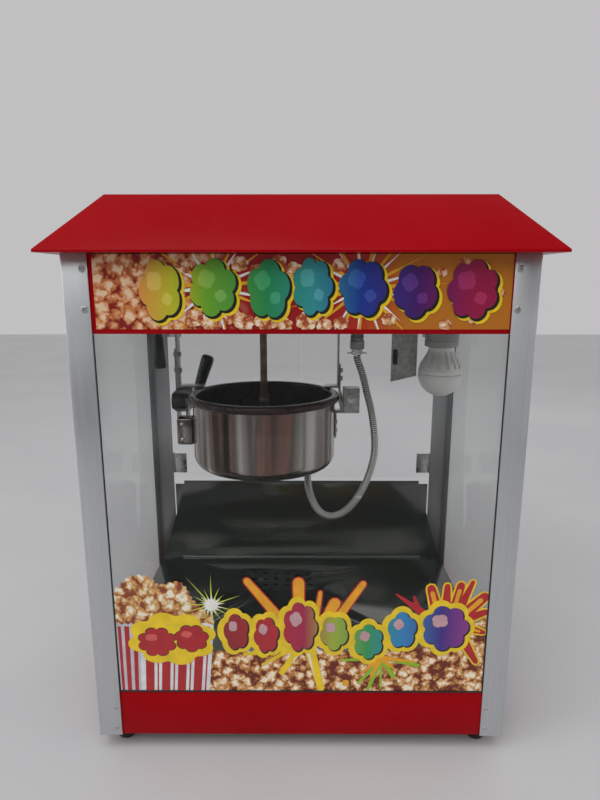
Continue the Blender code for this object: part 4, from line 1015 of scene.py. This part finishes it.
glass_film("badge", [kernel(BADGE, 0.112, 0.074, 8, 0.5)], 5, yellow_ink)
glass_film("badge_shadows", kernel_row(PAIR, 0.8, 0.0, 0.0009), 6, black_ink)
glass_film("badge_kernels", kernel_row(PAIR, 0.8, 0.0), 7, tub_red)
glass_film("badge_shine", [shine(entry, -0.14, 0.16, 0.34, 0.26, i) for i, entry in enumerate(PAIR)], 8,
           badge_shine)

# ---- Roof
# One hipped hood of folded sheet steel in the same red, its folds and its lip rounded over.
dress("roof", 0.0007, gloss_red, 3, 12.0)

# ---- Lamp
# An opal LED bulb with sixteen cooling slots round its neck, in a moulded holder under the header. A plated
# shield plate beside it keeps oil off the lamp, and a rubber plug closes the plate's slot.
lamp_low, lamp_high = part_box("lamp_bulb")
lamp_x, lamp_y = (lamp_low[0] + lamp_high[0]) / 2, (lamp_low[1] + lamp_high[1]) / 2
holder_low, holder_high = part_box("lamp_holder")
opal = plain_finish("opal_bulb_shell", (0.80, 0.80, 0.78), 0.32)
set_socket(opal, "Coat Weight", 0.3)
uneven_gloss(opal, 60.0, 0.26, 0.40, 5.0)
grain(opal, 700.0, 0.00001)
holder_grey = plain_finish("grey_lamp_holder", (0.36, 0.36, 0.345), 0.50)
uneven_gloss(holder_grey, 80.0, 0.42, 0.62, 5.0)
grain(holder_grey, 800.0, 0.00002)
GLOBE = 0.0298
globe_z = lamp_low[2] + 0.0300
globe_profile = [(0.0, globe_z - GLOBE)] + bend((0.0, globe_z), GLOBE, -84, -2, 22)
globe_profile += [(GLOBE - 0.0004, globe_z + 0.0012), (GLOBE - 0.0014, globe_z + 0.0014),
                  (0.0, globe_z + 0.0014)]
globe = stand(spin_profile(globe_profile, 64), (lamp_x, lamp_y, 0.0), (0, 0, 1))
keep(globe, "bulb_globe", "cabinet", opal)
neck_foot, neck_top = globe_z + 0.0080, lamp_high[2] - 0.0006
neck = [(0.0, globe_z + 0.0017), (0.0290, globe_z + 0.0017), (0.0294, globe_z + 0.0030),
        (0.0294, globe_z + 0.0066), (0.0287, neck_foot)]
NECK_STEPS = 14
NECK_TOP_RADIUS, NECK_FLARE = 0.0172, 0.0115
for step in range(1, NECK_STEPS + 1):
    rise = step / NECK_STEPS
    neck_radius = NECK_TOP_RADIUS + NECK_FLARE * (1.0 + math.cos(math.pi * rise)) / 2
    neck.append((neck_radius, neck_foot + (neck_top - neck_foot) * rise))
neck.append((0.0, neck_top))
FIN_PITCH = math.tau / 16
bulb_neck = spin_profile(neck, 96)
pick_only(bulb_neck)
bpy.ops.object.mode_set(mode="EDIT")
bpy.ops.mesh.select_mode(type="FACE")
bpy.ops.mesh.select_all(action="DESELECT")
bpy.ops.object.mode_set(mode="OBJECT")
for face in bulb_neck.data.polygons:
    turn = math.atan2(face.center.y, face.center.x) % FIN_PITCH
    face.select = turn < FIN_PITCH / 2 and neck_foot + 0.0015 < face.center.z < neck_top - 0.0040
bpy.ops.object.mode_set(mode="EDIT")
bpy.ops.mesh.inset(thickness=0.0003, depth=-0.0018)
bpy.ops.mesh.select_mode(type="VERT")
bpy.ops.object.mode_set(mode="OBJECT")
bulb_neck = stand(bulb_neck, (lamp_x, lamp_y, 0.0), (0, 0, 1))
keep(bulb_neck, "bulb_neck", "cabinet", opal, 25.0)
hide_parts("lamp_bulb")
low, top = holder_low[2], holder_high[2]
shell = [(0.0, low), (0.0190, low)] + bend((0.0205, low + 0.002), 0.0020, -90, 0, 5)
shell += [(0.0225, low + 0.008), (0.0218, low + 0.0086), (0.0218, low + 0.0100), (0.0225, low + 0.0106),
          (0.0225, top - 0.0045), (0.0243, top - 0.0040), (0.0245, top - 0.0030), (0.0245, top), (0.0, top)]
lamp_socket = stand(spin_profile(shell, 64), (lamp_x, lamp_y, 0.0), (0, 0, 1))
keep(lamp_socket, "lamp_socket", "cabinet", holder_grey, 30.0)
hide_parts("lamp_holder")
shield = dress("lamp_shield", 0.0, zinc_plate)
shield_low, shield_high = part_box("lamp_shield")
slot_low = (shield_low[0] + 0.0022, shield_low[1], shield_high[2] - 0.0580)
slot_high = (shield_low[0] + 0.0090, shield_high[1], shield_high[2] - 0.0360)
cut_low = (slot_low[0], slot_low[1] - 0.01, slot_low[2])
cut_high = (slot_high[0], slot_high[1] + 0.01, slot_high[2])
slot_cut = bar(cut_low, cut_high, 0.0024)
opening = shield.modifiers.new("slot", "BOOLEAN")
opening.object = slot_cut
pick_only(shield)
bpy.ops.object.modifier_apply(modifier="slot")
bpy.data.objects.remove(slot_cut, do_unlink=True)
plug = bar((slot_low[0] + 0.0002, slot_low[1] + 0.0004, slot_low[2] + 0.0002),
           (slot_high[0] - 0.0002, slot_high[1] + 0.0012, slot_high[2] - 0.0002), 0.0022)
keep(plug, "shield_slot_plug", "cabinet", foot_rubber)

# ---- Conduit fitting
# A plated screwed fitting hangs from the header floor. A hexagonal nut and a clip ring with two tabs hold
# the hose, and a second nut and gland hold it under the kettle.
fitting_low, fitting_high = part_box("conduit_fitting")
fitting_x = (fitting_low[0] + fitting_high[0]) / 2
dark_plating = plain_finish("dark_worn_plating", (0.26, 0.26, 0.255), 0.34, 1.0)
uneven_gloss(dark_plating, 150.0, 0.24, 0.48, 5.0)


def nut(radius, low, high, finish, name, body, at):
    """A hexagonal nut with chamfered corners."""
    middle = (low + high) / 2
    bpy.ops.mesh.primitive_cylinder_add(vertices=6, radius=radius, depth=high - low, location=(0, 0, middle))
    thing = bpy.context.object
    round_off(radius * 0.10, 3, 0.6)
    thing.location = at
    return keep(thing, name, body, finish)


stem = [(0.0, 0.5118), (0.0092, 0.5118), (0.0095, 0.5124)]
for turn in range(9):
    z = 0.5140 + turn * 0.0022
    stem += [(0.0095, z), (0.0088, z + 0.0008), (0.0095, z + 0.0016)]
stem += [(0.0095, fitting_high[2]), (0.0, fitting_high[2])]
fitting_stem = stand(spin_profile(stem, 48), (fitting_x, 0.0, 0.0), (0, 0, 1))
keep(fitting_stem, "fitting_stem", "cabinet", dark_plating, 30.0)
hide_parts("conduit_fitting")
nut(0.0112, 0.4992, 0.5114, dark_plating, "fitting_nut", "cabinet", (fitting_x, 0.0, 0.0))
collar = [(0.0, 0.4908), (0.0062, 0.4908), (0.0072, 0.4914), (0.0075, 0.4924), (0.0075, 0.4988),
          (0.0, 0.4988)]
fitting_collar = stand(spin_profile(collar, 48), (fitting_x, 0.0, 0.0), (0, 0, 1))
keep(fitting_collar, "fitting_collar", "cabinet", plated)
clip = [(0.0060, 0.4925), (0.0090, 0.4925), (0.0090, 0.4960), (0.0060, 0.4960)]
clip_ring = stand(spin_profile(clip, 40), (fitting_x, 0.0, 0.0), (0, 0, 1))
tabs = [bar(sorted_low, sorted_high, 0.0004) for sorted_low, sorted_high in (
    ((fitting_x - 0.0140, -0.0030, 0.4926), (fitting_x - 0.0080, 0.0030, 0.4942)),
    ((fitting_x + 0.0080, -0.0030, 0.4926), (fitting_x + 0.0140, 0.0030, 0.4942)))]
keep(join_all([clip_ring] + tabs), "fitting_clip_ring", "cabinet", plated)

# ---- Kettle hanger
# Flat zinc plated straps hang from the header floor, with a plate bolted to each that reaches forwards to
# the kettle's pivot pin. Hexagon bolts hold the plates.
for node in ("hanger_left", "hanger_right", "pivot_plate_left", "pivot_plate_right"):
    dress(node, 0.0003, zinc_plate)
dark_casting = plain_finish("dark_oxide_steel", (0.035, 0.034, 0.033), 0.42, 0.7)
uneven_gloss(dark_casting, 90.0, 0.32, 0.56, 5.0)
grain(dark_casting, 420.0, 0.00005)
dress("pivot_bearing_left", 0.0006, dark_casting)


WASHER = 0.0008


def hex_bolt(radius, height):
    """A hexagon head on a washer, its underside at the origin, pointing up Z."""
    middle = WASHER + height / 2
    bpy.ops.mesh.primitive_cylinder_add(vertices=6, radius=radius, depth=height, location=(0, 0, middle))
    head = bpy.context.object
    round_off(radius * 0.10, 2)
    washer = spin_profile([(0.0, 0.0), (radius * 1.45, 0.0), (radius * 1.45, 0.0006), (radius * 1.38, WASHER),
                           (0.0, WASHER)], 32)
    return join_all([head, washer])


strap_bolt = hex_bolt(0.0038, 0.0028)
LEFT_STRAP_FACE_X, LEFT_FOOT_X, RIGHT_FOOT_X = -0.1830, -0.1940, 0.0650
LEFT_BOLT_HEIGHTS, RIGHT_BOLT_HEIGHTS = (0.486, 0.462), (0.462, 0.450)
left_low, left_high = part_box("hanger_left")
right_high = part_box("hanger_right")[1]
strap_y = (left_low[1] + left_high[1]) / 2
left_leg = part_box("pivot_plate_left")
right_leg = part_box("pivot_plate_right")
bolts = [copy_to(strap_bolt, (left_leg[0][0], strap_y, z), (-1, 0, 0)) for z in LEFT_BOLT_HEIGHTS]
bolts += [copy_to(strap_bolt, (LEFT_STRAP_FACE_X, strap_y, z), (1, 0, 0)) for z in LEFT_BOLT_HEIGHTS]
bolts += [copy_to(strap_bolt, (right_leg[1][0], strap_y, z), (1, 0, 0)) for z in RIGHT_BOLT_HEIGHTS]
bolts += [copy_to(strap_bolt, (LEFT_FOOT_X, strap_y, left_high[2] - 0.002), (0, 0, -1)),
          copy_to(strap_bolt, (RIGHT_FOOT_X, strap_y, right_high[2] - 0.002), (0, 0, -1))]
keep(join_all(bolts), "strap_bolts", "cabinet", screw_steel)
bpy.data.objects.remove(strap_bolt, do_unlink=True)

# ---- Kettle
# A spun pan with a rolled rim and a dark non-stick coating sits in a brushed stainless jacket that closes
# the heater in. A riveted ear on each side carries a pivot pin, and a grip at the left rear tips it.
pan_low, pan_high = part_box("kettle_pan")
kettle_x = (pan_low[0] + pan_high[0]) / 2
rim_radius = (pan_high[0] - pan_low[0]) / 2
rim_top = pan_high[2]
BEAD = 0.0055
PAN_INSIDE = 0.0965
PAN_WALL = 0.0020
pan_floor = pan_low[2] + PAN_WALL
PAN_CORNER = 0.0140
bead_z = rim_top - BEAD
profile = [(0.0, pan_floor)] + bend((PAN_INSIDE - PAN_CORNER, pan_floor + PAN_CORNER), PAN_CORNER, -90, 0, 10)
profile += [(PAN_INSIDE, bead_z - 0.002)] + bend((PAN_INSIDE + 0.0045, bead_z + 0.0010), 0.0045, 180, 90, 6)
profile += bend((rim_radius - BEAD, bead_z), BEAD, 90, -90, 14)
profile += [(PAN_INSIDE + PAN_WALL, bead_z - BEAD)]
profile += bend((PAN_INSIDE - PAN_CORNER, pan_floor + PAN_CORNER), PAN_CORNER + PAN_WALL, 0, -90, 8)
profile += [(0.0, pan_low[2])]
pan_black = plain_finish("dark_nonstick_coating", (0.013, 0.006, 0.006), 0.32)
set_socket(pan_black, "Coat Weight", 0.04)
set_socket(pan_black, "Specular IOR Level", 0.28)
mottle(pan_black, 26.0, [(0.35, (0.010, 0.0034, 0.0034)), (0.60, (0.022, 0.0055, 0.005)),
                         (0.74, (0.036, 0.008, 0.007))], detail=2.0)
uneven_gloss(pan_black, 55.0, 0.24, 0.36, 6.0)
grain(pan_black, 900.0, 0.000003)
pan = stand(spin_profile(profile, 128), (kettle_x, 0.0, 0.0), (0, 0, 1))
keep(pan, "spun_pan", "kettle", pan_black)
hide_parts("kettle_pan")

jacket_low, jacket_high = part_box("kettle_jacket")
jacket_radius = (jacket_high[0] - jacket_low[0]) / 2
JACKET_CORNER = 0.0180
JACKET_SHEET = 0.0012
corner = (jacket_radius - JACKET_CORNER, jacket_low[2] + JACKET_CORNER)
profile = [(0.0, jacket_low[2])] + bend(corner, JACKET_CORNER, -90, 0, 14)
profile += [(jacket_radius, jacket_high[2]), (jacket_radius - JACKET_SHEET, jacket_high[2])]
profile += bend(corner, JACKET_CORNER - JACKET_SHEET, 0, -90, 10) + [(0.0, jacket_low[2] + JACKET_SHEET)]
spun_steel = plain_finish("spun_brushed_stainless", (0.20, 0.165, 0.15), 0.20, 1.0)
set_socket(spun_steel, "Anisotropic", 0.5)
# Upright bands in the jacket's colour: the brown ones are heat tint, and the dark and bright ones are painted
# reflections of the room.
heat_tint_and_reflection_bands = field(spun_steel, "noise", 34.0, (1.0, 1.0, 0.04), 2.0)
heat_tint_and_reflection_colours = [(0.34, (0.050, 0.040, 0.036)), (0.44, (0.23, 0.125, 0.10)), (0.50, (0.12, 0.100, 0.090)),
                (0.58, (0.27, 0.24, 0.22)), (0.66, (0.50, 0.48, 0.45))]
paint_with(spun_steel, colour_stops(spun_steel, heat_tint_and_reflection_bands, heat_tint_and_reflection_colours))
ring_lines = field(spun_steel, "noise", 10.0, (0.8, 0.8, 70.0), 4.0)
spread(spun_steel, ring_lines, "Roughness", 0.16, 0.24)
relief(spun_steel, ring_lines, 0.000004)
jacket = stand(spin_profile(profile, 128), (kettle_x, 0.0, 0.0), (0, 0, 1))
keep(jacket, "spun_jacket", "kettle", spun_steel)
heated_base = plain_finish("heat_darkened_base", (0.13, 0.10, 0.09), 0.26, 1.0)
mottle(heated_base, 9.0, [(0.35, (0.10, 0.070, 0.060)), (0.65, (0.17, 0.140, 0.125))])
uneven_gloss(heated_base, 30.0, 0.22, 0.34)
jacket.data.materials.append(heated_base)
for face in jacket.data.polygons:
    if abs(face.normal.z) > 0.75:
        face.material_index = 1
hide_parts("kettle_jacket")
frame["nodes"]["heater_plate"].data.materials.clear()
frame["nodes"]["heater_plate"].data.materials.append(zinc_plate)

dress("kettle_ear_right", 0.0003, zinc_plate)
dress("kettle_ear_left", 0.0004, spun_steel)
rivet_profile = [(0.0, 0.0), (0.0030, 0.0), (0.0029, 0.0007), (0.0022, 0.0014), (0.0010, 0.0018),
                 (0.0, 0.0019)]
rivet = spin_profile(rivet_profile, 32)
ear_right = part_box("kettle_ear_right")
ear_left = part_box("kettle_ear_left")
rivets = [copy_to(rivet, (ear_right[0][0] + 0.0020, y, 0.382 + rise), (1, 0, 0)) for y in (-0.0060, 0.0060)
          for rise in (0.0, 0.013)]
rivets += [copy_to(rivet, (-0.1710, ear_left[0][1] + 0.0002, 0.3700 + rise), (0, -1, 0))
           for rise in (0.0, 0.022)]
keep(join_all(rivets), "ear_rivets", "kettle", screw_steel)
bpy.data.objects.remove(rivet, do_unlink=True)
ear_bolt = hex_bolt(0.0042, 0.0030)
keep(join_all([copy_to(ear_bolt, (0.0715, ear_right[0][1], 0.4290), (0, -1, 0)),
               copy_to(ear_bolt, (0.0715, ear_right[1][1], 0.4290), (0, 1, 0))]),
     "ear_bolts", "kettle", screw_steel)
bpy.data.objects.remove(ear_bolt, do_unlink=True)
nut(0.0100, 0.3225, 0.3312, dark_plating, "underside_nut", "kettle", (0.0090, 0.0, 0.0))

dress("kettle_handle_rod", 0.0, zinc_plate)
GRIP_FOOT = Vector((-0.1621, 0.0912, 0.4290))
GRIP_HEAD = Vector((-0.1451, 0.0912, 0.4795))
lean = (GRIP_HEAD - GRIP_FOOT).normalized()
grip_low = GRIP_FOOT - lean * 0.012
grip_length = (GRIP_HEAD - grip_low).length
grip_profile = [(0.0, 0.0), (0.0060, 0.0), (0.0067, 0.0006), (0.0076, 0.0030), (0.0072, 0.0040),
                (0.0072, 0.0048), (0.0078, 0.0058), (0.0099, grip_length - 0.0125)]
grip_profile += bend((0.0037, grip_length - 0.0062), 0.0061, 0, 80, 8) + [(0.0, grip_length)]
grip = stand(spin_profile(grip_profile, 48), grip_low, lean)
keep(grip, "tipping_grip", "kettle", moulded_black)
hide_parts("kettle_grip")

# ---- Stirrer and drive shaft
# The steel shaft comes down from the gearbox to a ball and cross pin on the kettle's tilt axis. The stirrer
# stands on the pan floor below it, turned through a cup that lets the kettle tip away.
heat_steel = plain_finish("heat_stained_steel", (0.13, 0.085, 0.07), 0.34, 1.0)
stain_colours = [(0.30, (0.075, 0.042, 0.035)), (0.50, (0.14, 0.085, 0.070)), (0.72, (0.24, 0.19, 0.165))]
mottle(heat_steel, 16.0, stain_colours, (1.0, 1.0, 2.5), 6.0)
uneven_gloss(heat_steel, 50.0, 0.26, 0.50, 6.0)
dress("drive_shaft", 0.0, heat_steel)
dress("agitator", 0.0003, brushed)

# ---- Latch lever
# A short straight rod on a round eye hangs from the header at the left of the kettle. Its grip is moulded
# in black plastic and tapers upwards.
dress("latch_lever", 0.0003, zinc_plate)
latch_low, latch_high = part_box("latch_grip")
latch_x = (latch_low[0] + latch_high[0]) / 2
tall = latch_high[2] - latch_low[2]
latch_profile = [(0.0, 0.0), (0.0075, 0.0)] + bend((0.0077, 0.0020), 0.0020, -80, 10, 5)
latch_profile += [(0.0095, 0.011), (0.0072, tall - 0.0050), (0.0066, tall - 0.0040), (0.0066, tall - 0.0032),
                  (0.0063, tall - 0.0006), (0.0056, tall), (0.0, tall)]
latch = stand(spin_profile(latch_profile, 48), (latch_x, 0.0, latch_low[2]), (0, 0, 1))
keep(latch, "latch_handle", "latch", moulded_black)
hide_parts("latch_grip")

for pattern in (dome_head, flat_head):
    bpy.data.objects.remove(pattern, do_unlink=True)
bpy.ops.object.select_all(action="DESELECT")
